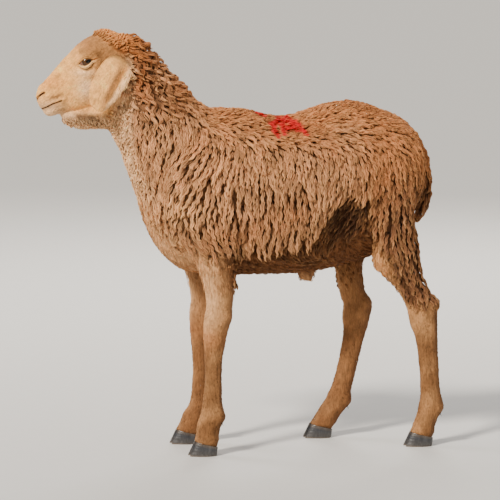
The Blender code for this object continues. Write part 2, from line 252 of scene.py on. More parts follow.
def waves(points, size, seed):
    """Smooth noise about -1..1: five sines of about this wavelength, in random directions."""
    made = np.random.default_rng(seed)
    total = np.zeros(points.shape[:-1])
    layers = 5
    for _ in range(layers):
        direction = made.normal(size=3)
        direction *= WHOLE_TURN / (size * np.linalg.norm(direction))
        bend = made.normal(size=3) * 2 * math.pi / (2.3 * size * 1.7)
        phase = made.uniform(0, WHOLE_TURN, 2)
        total += np.sin(points @ direction + phase[0] + 1.3 * np.sin(points @ bend + phase[1]))
    return total / layers * 1.4


# %% [markdown]
# ## The flesh
#
# The body is built straight, symmetrical about its middle plane, and the head is turned at the
# very end. Each part is a loft of ovals, the same stations as the solids but drawn in by the
# depth of the coat there: some 20 mm of wool on the flank, a millimetre or two of hair on the
# face and the lower legs. The lofts overlap, so they are fused by one voxel remesh, which gives
# a single even skin with no seam.

# %% Named measures
HEAD_TURN = math.radians(10.0)
TURN_START_X, TURN_LENGTH = -0.1865, 0.070
POLL, NOSE = mm(-276.2, 846), mm(-409, 721)
EYE_RADIUS = 0.0145
EYE = mm(-313.5, 40, 780)
VOXEL = 0.0020
FOOT_LENGTH, FOOT_WIDTH = 0.048, 0.044
CORONET_FRONT, CORONET_HEEL = 0.028, 0.0165
FEET = {
    "fore_leg_left": (-0.0961, -0.075),
    "fore_leg_right": (-0.0970, 0.075),
    "hind_leg_left": (0.3513, -0.075),
    "hind_leg_right": (0.1837, 0.075),
}


def side_of(name):
    """-1 for a part of the left side, 1 for one of the right."""
    return -1 if name.endswith("left") else 1


def turn_head(points):
    """Turns points about an upright line at the neck's root, more the further forward they are."""
    points = np.array(points, float)
    share = np.clip((TURN_START_X - points[..., 0]) / TURN_LENGTH, 0.0, 1.0)
    angle = HEAD_TURN * share**2 * (3 - 2 * share)
    x, y = points[..., 0] - TURN_START_X, points[..., 1].copy()
    points[..., 0] = TURN_START_X + x * np.cos(angle) + y * np.sin(angle)
    points[..., 1] = y * np.cos(angle) - x * np.sin(angle)
    return points


# %% The rings of each part, and how far the coat draws each in at its front, back and sides
HEAD_RINGS = rings_of(
    (-411, 713, -408, 700, 8),
    (-409, 721, -403, 689, 16.5),
    (-405, 732, -394, 676, 23, 0.45, 2.2, 2.2),
    (-396.8, 739.3, -382, 671.2, 27, 0.42, 2.2, 2.4),
    (-382.9, 754.5, -363.8, 675.9, 29, 0.40, 2.1, 2.4),
    (-363.1, 777.5, -340.1, 677.7, 32, 0.42, 2.0, 2.3),
    (-343.3, 798.5, -312.5, 678.5, 40, 0.50, 2.1, 2.0),
    (-323.5, 819.5, -286.8, 679.4, 50, 0.60, 2.3, 1.8),
    (-299.8, 837.2, -261.1, 691.1, 53, 0.62, 2.3, 1.8),
    (-276.2, 846, -241.2, 715, 50, 0.60, 2.2, 2.0),
    (-248.6, 835, -228, 750, 40, 0.55),
)
HEAD_IN = [0.8] * 7 + [2.5, 6, 8, 8], [0.8] * 4 + [1.5, 2.5] + [3] * 5, [0.8] * 7 + [1.2, 3, 6, 6]
THROAT_RINGS = rings_of(
    (-364, 680, -362, 670, 10),
    (-352, 688, -350, 654.5, 20),
    (-330, 690, -328, 648.5, 26),
    (-300, 700, -298, 647.5, 33),
    (-264, 710, -270, 648, 36),
)
THROAT_IN = [0] * 5, [1, 3, 3, 3, 3], [1, 3, 3, 3, 3]
TRUNK_RINGS = rings_of(
    (-256, 835, -296, 670, 44, 0.55),
    (-228, 839, -282, 656, 54, 0.55),
    (-194, 821, -264, 640, 60, 0.52),
    (-154, 771, -245.7, 605.8, 66),
    (-106, 717, -226.1, 548, 78, 0.48),
    (-70, 689, -207, 499, 92, 0.46, 1.9, 2.0),
    (-26.8, 684, -186, 430, 106, 0.44, 1.9, 2.0),  # withers and breast
    (12, 681.5, -146.2, 378.9, 114, 0.44, 2.0, 2.1),
    (50, 672, -95, 357.3, 119, 0.44, 2.1, 2.2),  # brisket
    (101.2, 668, 76, 350.7, 129, 0.46, 2.2, 2.2),  # dip of the back, and belly
    (184.3, 691.4, 168.5, 357, 128, 0.50, 2.3, 2.2),  # loin
    (236, 694, 225, 368, 120, 0.54, 2.3, 2.1),  # croup
    (285, 679, 272, 383, 109, 0.55, 2.3, 2.0),  # groin
    (318, 663, 308, 420, 97, 0.55, 2.3, 2.0),
    (346, 642, 336, 452, 80, 0.52, 2.2, 2.0),  # tail head
    (368, 606, 360, 485, 52),
    (375, 565, 373.5, 525, 20),
)
TRUNK_IN = (
    [9, 11, 13, 13, 12, 11, 10, 10, 10, 10, 10, 10, 10, 9, 8, 8, 6],
    [3, 3, 3, 3, 4, 4, 3, 3, 2, 2, 2, 2, 2, 3, 4, 5, 4],
    [6, 9, 11, 13, 15, 16, 17, 18, 19, 20, 19, 16, 13, 11, 9, 8, 6],
)
SHEATH_RINGS = rings_of(
    (118, 374, 117, 350, 9),
    (124, 376, 123, 334.5, 13.5),
    (135, 376, 135, 329, 15),
    (146, 378, 146, 334.5, 13.5),
    (156, 380, 154, 352, 9),
)
SHEATH_IN = [0] * 5, [1] * 5, [1] * 5


def limb_rings(joints, girths, side):
    """Rings square to a limb's line, from the body down.

    A girth is how many joints along it is, then in mm how far behind the line, its half depth,
    its half width and its y.
    """
    made = []
    for place, *girth in girths:
        behind, half_depth, half_width, y = mm(*girth)
        here = min(int(place), len(joints) - 2)
        at = joints[here] + (place - here) * (joints[here + 1] - joints[here])
        before = joints[max(math.ceil(place) - 1, 0)]
        after = joints[min(math.floor(place) + 1, len(joints) - 1)]
        down = unit(after - before)
        backward = np.array([-down[1], down[0]])
        middle, reach = at + behind * backward, half_depth * backward
        made.append(ring(middle - reach, middle + reach, half_width, y=side * y))
    return made


def coronet_ring(foot):
    """The sloping section where a leg ends on its claws."""
    x, y = foot
    front = (x - 0.34 * FOOT_LENGTH, CORONET_FRONT)
    heel = (x + 0.54 * FOOT_LENGTH, CORONET_HEEL)
    return ring(front, heel, FOOT_WIDTH / 2 - 0.0008, 0.5, 2.3, 2.3, y)


FORE_GIRTHS = [
    (0.00, 0, 56, 34, 62),
    (0.55, 0, 50, 32, 69),
    (1.00, 0, 38, 29, 77),
    (1.40, 5, 30, 25.5, 79.5),
    (1.70, 5, 26, 23.2, 79),
    (2.00, 0, 25.8, 21.8, 78),  # knee
    (2.16, -2, 23, 20, 77),
    (2.34, -3, 18.4, 15.5, 76),
    (2.60, -1, 17, 14, 75),
    (2.84, 0, 19.5, 15.5, 75),
    (3.00, 1, 24.2, 19, 75),  # fetlock
    (3.55, 0, 23.8, 19, 75),
]
HIND_GIRTHS = [
    (0.00, 0, 62, 38, 50),
    (0.55, 0, 52, 35, 60),
    (1.00, -4, 38, 30, 70),  # stifle
    (1.35, -7, 31, 25.5, 75.5),
    (1.60, -9, 26.5, 21.5, 78),
    (1.84, -6, 26, 19.5, 78),
    (2.00, -1, 30, 20.5, 78),  # hock
    (2.14, 2, 28.3, 18.8, 77),
    (2.30, 5, 22.5, 15.5, 76),
    (2.60, 5, 20, 14, 75),
    (2.84, 3, 20.5, 15.5, 75),
    (3.00, 1, 24.8, 19, 75),  # fetlock
    (3.55, 0, 22, 19, 75),
]
LIMBS = {  # joints from the body down to the pastern, then the girths
    "fore_leg_left": (
        mm((-91, 475), (-71, 385), (-70, 260), (-80, 78), (-93.5, 30)),
        FORE_GIRTHS,
    ),
    "fore_leg_right": (
        mm((-86, 475), (-67, 385), (-60, 256), (-64.5, 78), (-90, 30)),
        FORE_GIRTHS,
    ),
    "hind_leg_left": (
        mm((272, 566), (293, 462), (354.5, 278), (374.5, 78), (358, 30)),
        HIND_GIRTHS,
    ),
    "hind_leg_right": (
        mm((262, 566), (245.5, 432), (266, 266), (224, 76), (193, 30)),
        HIND_GIRTHS,
    ),
}
TAIL_PATH = mm((326, 630), (350, 612), (371, 580), (382, 540), (384, 500), (376, 472), (366, 452))
TAIL_LINE = np.insert(TAIL_PATH, 1, 0.0, axis=1)
TAIL_DEPTHS = (8, 11, 10.5, 10, 8.5, 7, 4)
TAIL_WIDTHS = (14, 17, 16.5, 15, 12.5, 10, 5)


def leg_x(name, z):
    """Where a leg's line runs at each height."""
    joints = LIMBS[name][0][::-1]
    return np.interp(z, joints[:, 1], joints[:, 0])


# %% [markdown]
# ### The ears
#
# A fat-tailed sheep's ears hang. Each is a leaf of skin that leaves the head behind the eye as a
# short thick tube and opens downward, bent round its own length, with a deep groove along its
# rear half and a rim turned outward behind the groove.

# %% Ear
EAR_LINE = mm(
    (-244, 40, 783), (-248, 60, 779), (-260, 74.5, 760),
    (-275, 79, 733), (-285, 77, 707), (-289, 73, 685),
)
EAR_PLACES = (0.0, 0.2, 0.45, 0.7, 0.88, 1.0)  # shares of the ear's length, for its girths
EAR_HALF_WIDTHS = mm(14.5, 27.5, 32.5, 29.5, 21.5, 9.5)
EAR_HALF_DEPTHS = mm(7, 4.6, 3, 2.8, 2.7, 2.2)
EAR_CURL = math.radians(52.0)
EAR_GROOVE, EAR_RIM = 0.0085, 0.0045


def ear_loft(side, steps=10, around=72):
    """Leaf sections bent round a circle: (R sin b, R cos b - R), b = curl cos(angle), grooved."""
    line = through(EAR_LINE, steps)
    share = np.linspace(0.0, 1.0, len(line))[:, None]
    half_width = np.interp(share, EAR_PLACES, EAR_HALF_WIDTHS)
    half_depth = np.interp(share, EAR_PLACES, EAR_HALF_DEPTHS)
    half_width[-steps // 2 :] *= np.sqrt(1 - np.linspace(0, 0.9, steps // 2) ** 2)[:, None]
    curl = EAR_CURL * np.interp(share, (0.0, 0.3, 1.0), (0.15, 1.0, 0.8))
    down = unit(np.gradient(line, axis=0))
    across = unit(np.cross(down, (0.10, 1.0, 0.25)))
    angle = np.linspace(0.0, WHOLE_TURN, around, endpoint=False)[None, :]
    place = np.cos(angle)  # -1 at the front edge, 1 at the rear edge
    radius = half_width / np.sin(curl)
    depth = half_depth * np.sign(np.sin(angle)) * np.abs(np.sin(angle)) ** 0.6
    wide = (radius + depth) * np.sin(curl * place)
    proud = (radius + depth) * np.cos(curl * place) - radius
    open_part = ease(share, 0.12, 0.35) * (1 - ease(share, 0.66, 0.92))
    proud -= open_part * EAR_GROOVE * bell(place - (0.40 + 0.10 * share), 0.20)
    proud += open_part * EAR_RIM * ease(place, 0.62, 1.0)
    points = line[:, None, :] + wide[..., None] * across[:, None, :]
    points += proud[..., None] * np.cross(across, down)[:, None, :]
    points[..., 1] *= side
    return points


# %% All the lofts, fused into one even skin
def flesh_lofts():
    """Every overlapping part of the body, as closed grids of points."""
    lofts = [
        loft(inset(HEAD_RINGS, *HEAD_IN), 8, 96),
        loft(inset(TRUNK_RINGS, *TRUNK_IN), 6, 120),
        loft(inset(THROAT_RINGS, *THROAT_IN), 4, 48),
        loft(inset(SHEATH_RINGS, *SHEATH_IN), 4, 32),
    ]
    for name, (joints, girths) in LIMBS.items():
        rings = limb_rings(joints, girths, side_of(name)) + [coronet_ring(FEET[name])]
        lofts.append(loft(rings, 5, 48))
    girths = [(k, 0, *girth, 0) for k, girth in enumerate(zip(TAIL_DEPTHS, TAIL_WIDTHS))]
    lofts.append(loft(limb_rings(TAIL_PATH, girths, 1), 5, 36))
    return lofts + [ear_loft(-1), ear_loft(1)]


def applied(mesh, kind, weights=(), **settings):
    """The mesh that one modifier makes of this one; weights are rows of (flags, weight)."""
    thing = add_object("working", mesh)
    for chosen, weight in weights:
        group = thing.vertex_groups.get("share") or thing.vertex_groups.new(name="share")
        group.add(np.flatnonzero(chosen).tolist(), weight, "REPLACE")
    step = thing.modifiers.new("step", kind)
    for key, value in settings.items():
        setattr(step, key, value)
    bpy.context.view_layer.update()
    graph = bpy.context.evaluated_depsgraph_get()
    made = bpy.data.meshes.new_from_object(thing.evaluated_get(graph))
    bpy.data.objects.remove(thing)
    return made


def read(items, key, kind=np.int32, width=3):
    """One property of all the points, edges or faces of a mesh, width numbers to a row."""
    flat = np.empty(len(items) * width, kind)
    items.foreach_get(key, flat)
    return flat.reshape(-1, width)


def points_of(mesh):
    return read(mesh.vertices, "co", np.float32).astype(float)


def move_points(mesh, points):
    mesh.vertices.foreach_set("co", points.astype(np.float32).ravel())
    mesh.update()


def triangles_of(mesh):
    mesh.calc_loop_triangles()
    return read(mesh.loop_triangles, "vertices")


def normals_of(points, triangles):
    """Vertex normals: the sum of the cross products of the triangles round each point."""
    a, b, c = (points[triangles[:, k]] for k in range(3))
    face = np.cross(b - a, c - a)
    total = np.zeros_like(points)
    for k in range(3):
        for axis in range(3):
            total[:, axis] += np.bincount(triangles[:, k], face[:, axis], len(points))
    return unit(total)


def pull(points, edges):
    """The way from each point to the mean of its neighbours."""
    a, b = edges.T
    count = np.maximum(np.bincount(edges.ravel(), minlength=len(points)), 1)
    sums = [
        np.bincount(a, points[b, k], len(points)) + np.bincount(b, points[a, k], len(points))
        for k in range(3)
    ]
    return np.stack(sums, axis=-1) / count[:, None] - points


# %% Fuse
MESH = closed_mesh("flesh", *flesh_lofts())
MESH = applied(MESH, "REMESH", mode="VOXEL", voxel_size=VOXEL, adaptivity=0.0)
print("fused flesh", len(MESH.vertices), "points")


def on_head(points):
    """1 on the head and ears, 0 on the neck and behind."""
    return 1 - ease(points[:, 0] - 0.30 * (points[:, 2] - 0.74), -0.262, -0.232)


def on_ear(points, reach=0.003):
    """1 on the ears, away from their roots."""
    away, share = line_distance(points, EAR_LINE)
    wide = np.interp(share, EAR_PLACES, EAR_HALF_WIDTHS) + 0.004
    return (1 - ease(away, wide, wide + reach)) * ease(share, 0.05, 0.25)


# %% Smooth where the lofts meet
points, edges = points_of(MESH), read(MESH.edges, "vertices", width=2)
head_share = on_head(points) * ease(points[:, 2], 0.60, 0.64)
ear_share = on_ear(points, 0.012)
legs_share = 1 - ease(points[:, 2], 0.30, 0.36)
strength = np.clip(1 - 0.55 * head_share - 0.45 * legs_share + 0.40 * ear_share, 0.1, 1.0)
melt = (1 - legs_share) * (1 - head_share) * (1 - ear_share)
for turn in range(18):  # towards the neighbours' mean, then back a little, so volume stays
    points = points + pull(points, edges) * strength[:, None] * (-0.52 if turn % 2 else 0.60)
for turn in range(14):  # the wool hides these joins, so plain averaging is enough
    points += 0.5 * melt[:, None] * pull(points, edges)
move_points(MESH, points)
print("smoothed")

# %% [markdown]
# ### Finer where the face needs it
#
# Lids, nostrils and lips have edges under a millimetre across, so the skin there is divided
# twice before it is shaped.

# %% Divide round the eyes, nostrils and mouth
EYE_OUT = unit(np.array([-0.12, 0.985, 0.10]))
SLIT = np.array([-math.cos(math.radians(16)), 0.0, -math.sin(math.radians(16))])
SLIT = unit(SLIT - (SLIT @ EYE_OUT) * EYE_OUT)
EYE_UP = np.cross(SLIT, EYE_OUT)
EYE_UP *= np.sign(EYE_UP[2])
NOSTRIL = mm((-409.5, 6.5, 705), (-407.2, 12.5, 709.5), (-402, 18.5, 715), (-395.5, 22.5, 719.6))
MOUTH = mm(
    (-407.5, 685), (-403.1, 686.1), (-392.5, 690.5), (-379, 697.5), (-369, 701), (-361.6, 703.6)
)


def mouth_distance(points):
    """Distance, seen from the side, from each point to the mouth's line, and the share along it."""
    flat = np.stack([points[:, 0], np.zeros(len(points)), points[:, 2]], axis=-1)
    return line_distance(flat, np.insert(MOUTH, 1, 0.0, axis=1))


def face_detail(points, reach):
    """Whether each point lies within reach of the eyes, the nostrils or the mouth."""
    eye = np.linalg.norm(mirrored(points) - EYE, axis=1) < EYE_RADIUS + 0.004 + reach
    front = points[:, 0] < -0.350
    mouth = front & (mouth_distance(points)[0] < 0.001 + reach)
    nostril = front & (line_distance(points, NOSTRIL)[0] < 0.003 + reach)
    return (eye & (np.abs(points[:, 1]) > 0.030)) | mouth | nostril


def divided(mesh, chosen):
    """Splits every edge whose two ends are both chosen."""
    shell = bmesh.new()
    shell.from_mesh(mesh)
    shell.verts.ensure_lookup_table()
    cut = [e for e in shell.edges if chosen[e.verts[0].index] and chosen[e.verts[1].index]]
    bmesh.ops.subdivide_edges(shell, edges=cut, cuts=1, use_grid_fill=True, smooth=0.0)
    bmesh.ops.triangulate(shell, faces=[f for f in shell.faces if len(f.verts) > 4])
    shell.to_mesh(mesh)
    shell.free()
    return mesh


for reach in (0.009, 0.005):
    MESH = divided(MESH, face_detail(points_of(MESH), reach))
print("divided", len(MESH.vertices), "points")

# %% [markdown]
# ### The head's forms
#
# A sheep's eye stands out sideways from the skull, half covered by a heavy upper lid. The lid
# margins lie on the ball of the eye: inside the almond between them the skin drops behind the
# eyeball, and outside it the skin runs over the ball at a lid's thickness, then eases into the
# face with a crease above and two below. The nostril is a slanting comma, the mouth a shallow
# line that rises to its corner, and the cheek swells behind a hollow.

# %% Eyelids
LID_HALF_LENGTH, LID_ABOVE, LID_BELOW = 0.0172, 0.0052, 0.0068
LID_THICKNESS, LID_DROP = 0.0017, 0.0030
LID_REACH = 0.034  # how far from the eye's middle the lids' shape is felt


def eye_edge(points):
    """Signed distance from the edge of the eye's opening, and height, place and depth there."""
    away = mirrored(points) - EYE
    out, along, rise = away @ EYE_OUT, away @ SLIT, away @ EYE_UP
    along = EYE_RADIUS * np.arctan2(along, np.maximum(out, 1e-4))
    rise = EYE_RADIUS * np.arctan2(rise, np.maximum(out, 1e-4))
    place = along / LID_HALF_LENGTH
    skew = 1 + 0.25 * place  # the opening is tallest behind its middle
    height = np.where(rise > 0, LID_ABOVE / skew, LID_BELOW * skew)
    slope = 2 * height * place / LID_HALF_LENGTH
    edge = (np.abs(rise) - height * (1 - place**2)) / np.sqrt(1 + slope**2)
    beyond = np.hypot(along - np.sign(along) * LID_HALF_LENGTH, rise)
    edge = np.where(np.abs(place) > 1, beyond, edge)
    return np.where(out > 0, edge, 0.05), rise, along, out


def shape_eyes(points):
    """Lays the skin over the eyeball as lids, with their creases, and behind it in the opening."""
    edge, rise, along, out = eye_edge(points)
    away = mirrored(points) - EYE
    now = np.linalg.norm(away, axis=1)
    above = rise > 0
    corner = 1 - ease(np.abs(along) / LID_HALF_LENGTH, 0.75, 1.10)
    lid = EYE_RADIUS - LID_DROP + (LID_DROP + LID_THICKNESS) * ease(edge, -0.0007, 0.0009)
    lid += 0.0006 * bell(edge - 0.0014, 0.0010)  # the margin's own roll
    lid += 0.0009 * above * ease(edge, 0.0046, 0.0064)
    lid += 0.0013 * bell(edge - 0.0040, 0.0029) * ~above * corner  # the lower lid's roll
    crease = np.where(above, 0.0015, 0.0021) * (0.25 + 0.75 * corner)
    crease *= bell(edge - np.where(above, 0.0047, 0.0080), 0.0011)
    lid -= (crease + 0.0008 * bell(edge - 0.0130, 0.0014) * ~above) * (edge > 0)
    mound = 0.5 * (lid + now + np.sqrt((lid - now) ** 2 + 0.0035**2)) - 0.0004
    wanted = np.where(edge < 0.0006, lid, lid + (mound - lid) * ease(edge, 0.0006, 0.0050))
    wanted = now + (wanted - now) * (1 - ease(now, 0.024, LID_REACH))
    reach = (out > -0.004) & (now < LID_REACH)
    moved = EYE + away * (wanted / np.maximum(now, 1e-6))[:, None]
    moved[:, 1] *= np.where(points[:, 1] < 0, -1.0, 1.0)
    return np.where(reach[:, None], moved, points)


# %% Bumps and grooves over the head
FACE_BUMPS = [  # (centre, reach, height), all in mm, on the right side
    ((-283, 47, 720), (25, 30, 26), 4.2),  # masseter
    ((-342, 35, 720), (20, 20, 20), -4.2),  # hollow before it
    ((-306, 52, 756), (22, 20, 6), 1.8),  # bony ridge under the eye
    ((-308, 50, 801), (18, 16, 8), 3.2),  # brow
    ((-286, 47, 796), (10, 20, 12), -2.5),  # temple
    ((-342, 40, 766), (10, 14, 8), -1.8),  # tear pit
    ((-370, 22, 748), (22, 12, 10), -1.2),  # side of the nose
    ((-402, 18, 723), (8, 10, 5), 1.6),  # wing of the nostril
    ((-396, 20, 701), (10, 12, 8), 1.6),  # upper lip
    ((-389, 16, 679), (10, 12, 6), 0.8),  # lower lip
    ((-358, 29, 704), (6, 12, 7), 1.2),  # behind the mouth's corner
    ((-256, 46, 788), (12, 20, 12), 4.0),  # base of the ear
]
LIP_WRINKLE = mm((-398.5, 26, 713), (-388, 27, 706))


def shape_head(points, normals):
    """Adds the bumps, then the nostrils, mouth, lips and the groove down the upper lip."""
    head = on_head(points) * (1 - on_ear(points, 0.004))
    push = bumps(points, FACE_BUMPS) / 1000 * head
    slit, along = line_distance(points, NOSTRIL)
    width = np.interp(along, (0, 0.25, 0.7, 1), (0.0012, 0.0024, 0.0018, 0.0008))
    push -= np.interp(along, (0, 0.3, 1), (0.0026, 0.0062, 0.0020)) * bell(slit, width)
    push += 0.0006 * bell(slit - 0.0042, 0.0018) * (points[:, 0] < -0.385)
    front = 1 - ease(points[:, 0], -0.357, -0.350)
    line, along = mouth_distance(points)
    width = 0.0011 + 0.0005 * bell(along - 1.0, 0.10)
    push -= (0.0016 + 0.0012 * ease(along, 0.15, 0.5)) * front * bell(line, width)
    under = np.interp(points[:, 0], *MOUTH.T) - points[:, 2]
    push += 0.0004 * front * bell(under + 0.0036, 0.0022)
    push -= 0.0012 * front * ease(under, 0.0008, 0.0030) * (1 - ease(under, 0.007, 0.014))
    push -= 0.0028 * near(points, (-412, 0, 700), (10, 1.6, 14))
    push -= 0.0006 * bell(line_distance(points, LIP_WRINKLE)[0], 0.0012)
    rough = waves(points, 0.011, 3) * 0.00022 + waves(points, 0.005, 4) * 0.00012
    return points + normals * (push + head * rough * (eye_edge(points)[0] > 0.002))[:, None]


# %% [markdown]
# ### Trunk and legs
#
# Shoulder, armpit, the hollow in front of the thigh and the web of skin that runs from the belly
# to the stifle give the wool its larger folds. The lower legs carry only short hair, so their
# bones and tendons show: a broad flat knee, a sharp hock, a groove between cannon bone and
# tendons, a round fetlock and a cleft above the claws.

# %% Trunk and leg forms
BODY_BUMPS = [
    ((-130, 95, 480), (50, 60, 60), 10),  # point of the shoulder
    ((-70, 105, 395), (30, 50, 30), 5),  # elbow
    ((-15, 110, 430), (28, 60, 45), -11),  # armpit
    ((30, 125, 520), (80, 60, 80), 3),  # ribs
    ((192, 115, 470), (44, 70, 60), -26),  # flank hollow
    ((315, 90, 520), (40, 50, 70), 6),  # thigh
    ((218, 85, 388), (34, 40, 30), -20),  # groin
    ((260, 90, 640), (30, 50, 30), 4),  # hip bone
    ((-215, 50, 600), (30, 50, 60), -4),  # throat groove
]
FLANK_WEB = mm((196, 100, 423), (226, 90, 402), (252, 85, 362), (280, 80, 312))
FLANK_FOLD = mm((232, 105, 505), (195, 108, 460), (156, 106, 422), (116, 100, 390))


def shape_trunk(points, normals):
    """Adds the trunk's bumps, the web and stifle of the near side, and the fold of the flank."""
    push = bumps(points, BODY_BUMPS) / 1000
    left = points[:, 1] < 0
    push += 0.0060 * bell(line_distance(points, FLANK_WEB)[0], 0.013) * left
    stifle = near(points, (268, 85, 374), (34, 45, 42)) * left
    push += 0.0340 * stifle * ease(-normals[:, 0], -0.1, 0.5)
    push += 0.0075 * bell(line_distance(points, FLANK_FOLD)[0], 0.011)
    return points + normals * (push * (1 - ease(-points[:, 2], -0.33, -0.28)))[:, None]


def shape_leg(points, normals, name):
    """Bones and tendons of one leg, each a bump or a groove at its place along the leg's line."""
    side = side_of(name)
    mine = (points[:, 1] * side > 0.02) & (points[:, 2] < 0.40)
    mine &= np.abs(points[:, 0] - leg_x(name, points[:, 2])) < 0.075
    x, y, z = points[mine].T
    behind = x - leg_x(name, z)
    outer = (y * side - 0.077) / 0.018  # 1 on the outer face
    knee, fetlock = LIMBS[name][0][2:4, 1]

    def at(height, reach):
        return bell(z - height, reach)

    front, rear = ease(-behind, 0.004, 0.014), ease(behind, 0.004, 0.014)
    sides = bell(behind, 0.016)
    if name.startswith("fore"):
        push = 0.0016 * front * at(knee + 0.010, 0.016) - 0.0020 * rear * at(knee - 0.020, 0.016)
        push += 0.0016 * sides * at(knee + 0.002, 0.014) + 0.0022 * rear * at(knee + 0.016, 0.012)
        groove_x = 0.0050
    else:
        push = 0.0050 * rear * at(knee + 0.012, 0.012) - 0.0022 * front * at(knee + 0.006, 0.016)
        push += 0.0020 * sides * at(knee - 0.006, 0.016)
        push -= 0.0026 * bell(behind - 0.008, 0.006) * at(knee + 0.055, 0.032)  # hollow of the hock
        groove_x = 0.0065
    shaft = ease(z, fetlock + 0.020, fetlock + 0.045) * (1 - ease(z, knee - 0.050, knee - 0.025))
    push -= 0.0017 * shaft * bell(behind - groove_x, 0.0028) * np.abs(outer)
    push += 0.0024 * rear * at(fetlock - 0.002, 0.010) + 0.0012 * sides * at(fetlock + 0.002, 0.012)
    push -= 0.0014 * rear * at(fetlock - 0.024, 0.010)
    cleft = bell(y * side - abs(FEET[name][1]), 0.0030) * (1 - ease(z, 0.030, 0.062))
    push -= 0.0030 * cleft * front
    push -= 0.0022 * cleft * rear * (1 - ease(z, 0.020, 0.045))
    push += 0.0014 * at(0.030, 0.005)  # the roll of skin over the coronet
    push += 0.0006 * waves(points[mine], 0.022, 8)
    moved = points.copy()
    moved[mine] += normals[mine] * push[:, None]
    return moved


# %% Shape it
points, triangles = points_of(MESH), triangles_of(MESH)
points = shape_trunk(points, normals_of(points, triangles))
for name in LIMBS:
    points = shape_leg(points, normals_of(points, triangles), name)
points = shape_eyes(shape_head(points, normals_of(points, triangles)))
move_points(MESH, points)
print("shaped the head, trunk and legs")

# %% Thin out the skin that wool hides, less on the lower legs and not on the head, and turn it
SKIN_FACES = 165000
points = points_of(MESH)
bare = np.maximum(on_head(points), on_ear(points, 0.012)) * ease(points[:, 2], 0.60, 0.64) >= 0.25
high = points[:, 2] > 0.31
SKIN = applied(
    MESH, "DECIMATE", [(~bare & ~high, 0.5), (~bare & high, 1.0)],
    ratio=SKIN_FACES / len(triangles_of(MESH)), vertex_group="share", vertex_group_factor=1.0,
)
STRAIGHT = points_of(SKIN)  # the skin's points before the head is turned
move_points(SKIN, turn_head(STRAIGHT))
SKIN.shade_smooth()
print("skin", len(STRAIGHT), "points", len(triangles_of(SKIN)), "triangles")

# %% [markdown]
# ## Colour
#
# The wool is a warm tan brown, redder along the nape and poll, and the short hair of the face,
# ears and throat is pale. The lower legs are tan with browner shins, and the belly, which the
# sun never bleaches, is darker. A smear of red raddle lies across the near side of the back.
# Shade is painted into the colour as well: in the folds, hollows and creases, under the jaw,
# beside the tail, low on the flank, and on the backs and inner faces of the legs. One function
# of place gives all of it, so the skin and the locks that grow on it always agree.

# %% Colours
def from_screen(*colours):
    """Linear colours from everyday 0-255 values."""
    value = np.array(colours) / 255.0
    return np.where(value <= 0.04045, value / 12.92, ((value + 0.055) / 1.055) ** 2.4)


WOOL, RUMP_WOOL, NAPE_WOOL, THIGH_WOOL, CREST, STRAW = from_screen(
    (208, 150, 104), (200, 130, 78), (162, 90, 42), (150, 100, 66), (246, 164, 92), (236, 182, 118)
)
FOREHEAD, FACE, CHEEK, MUZZLE, LIPS, LID_RIM = from_screen(
    (166, 112, 66), (254, 184, 104), (253, 200, 146), (246, 166, 88), (228, 178, 132),
    (244, 188, 124),
)
THROAT, CHEST, EAR, EAR_FOLD, DARK_SKIN_AND_SHADE = from_screen(
    (240, 190, 140), (206, 154, 106), (254, 184, 106), (186, 128, 86), (60, 32, 22)
)
LEG, SHIN, SHADE_BROWN, BELLY_HAIR_AND_SHADE, DARK_HAIR_AND_SHADE, RADDLE = from_screen(
    (178, 128, 82), (124, 84, 50), (110, 72, 44), (122, 78, 46), (80, 50, 32), (226, 40, 40)
)
print("wool", WOOL.round(3), "face", FACE.round(3), "leg", LEG.round(3))

# %% Where the wool grows
# The wool's edges on the side, as (x, z): how far forward it reaches at each height, and how far
# down it reaches at each place along the body.
WOOL_FRONT = mm(
    (-100, 385), (-165, 440), (-200, 510), (-215, 540), (-222, 590),
    (-226, 650), (-228, 740), (-232, 790), (-262, 805), (-284, 845),
)
WOOL_UNDER = mm(
    (-200, 500), (-160, 455), (-130, 425), (-90, 412), (-50, 402), (-28, 408), (-10, 424),
    (50, 430), (90, 437), (116, 448), (138, 466), (158, 494), (182, 522), (214, 530), (240, 505),
    (257, 455), (271, 412), (286, 376), (300, 338), (314, 306), (334, 292), (400, 296),
)


def standing_alike(points):
    """Mirrored points, the right hind leg's moved back to where the left one stands."""
    same = mirrored(points)
    z = same[:, 2]
    shift = leg_x("hind_leg_left", z) - leg_x("hind_leg_right", z)
    share = (points[:, 1] > 0) * ease(same[:, 0], 0.09, 0.20) * (1 - ease(z, 0.42, 0.54))
    same[:, 0] += shift * share
    return same


def on_crest(points):
    """1 on the woolly crest of the poll."""
    return ease(points[:, 2] + 0.55 * points[:, 0], 0.664, 0.684)


def wool_share(points, normals):
    """1 where long wool grows, 0 on the short-haired face, throat, brisket, belly and legs."""
    x, _, z = standing_alike(points).T
    ahead = x - np.interp(z, WOOL_FRONT[:, 1], WOOL_FRONT[:, 0])
    above = z - np.interp(x, *WOOL_UNDER.T)
    share = ease(ahead, -0.006, 0.010) * ease(above, -0.006, 0.010)
    inner = normals[:, 1] * np.sign(points[:, 1]) - 0.50 * (points[:, 1] > 0) * (x > 0.1)
    share *= 1 - (1 - ease(z, 0.42, 0.50)) * (1 - ease(inner, -0.10, 0.25))
    throat = (1 - ease(normals[:, 0], -0.80, -0.55)) * ease(z, 0.50, 0.56)
    return share * (1 - throat * (x < -0.10)) * (1 - on_ear(points))


print("wool from x", WOOL_FRONT[:, 0].min(), "to", WOOL_UNDER[:, 0].max())

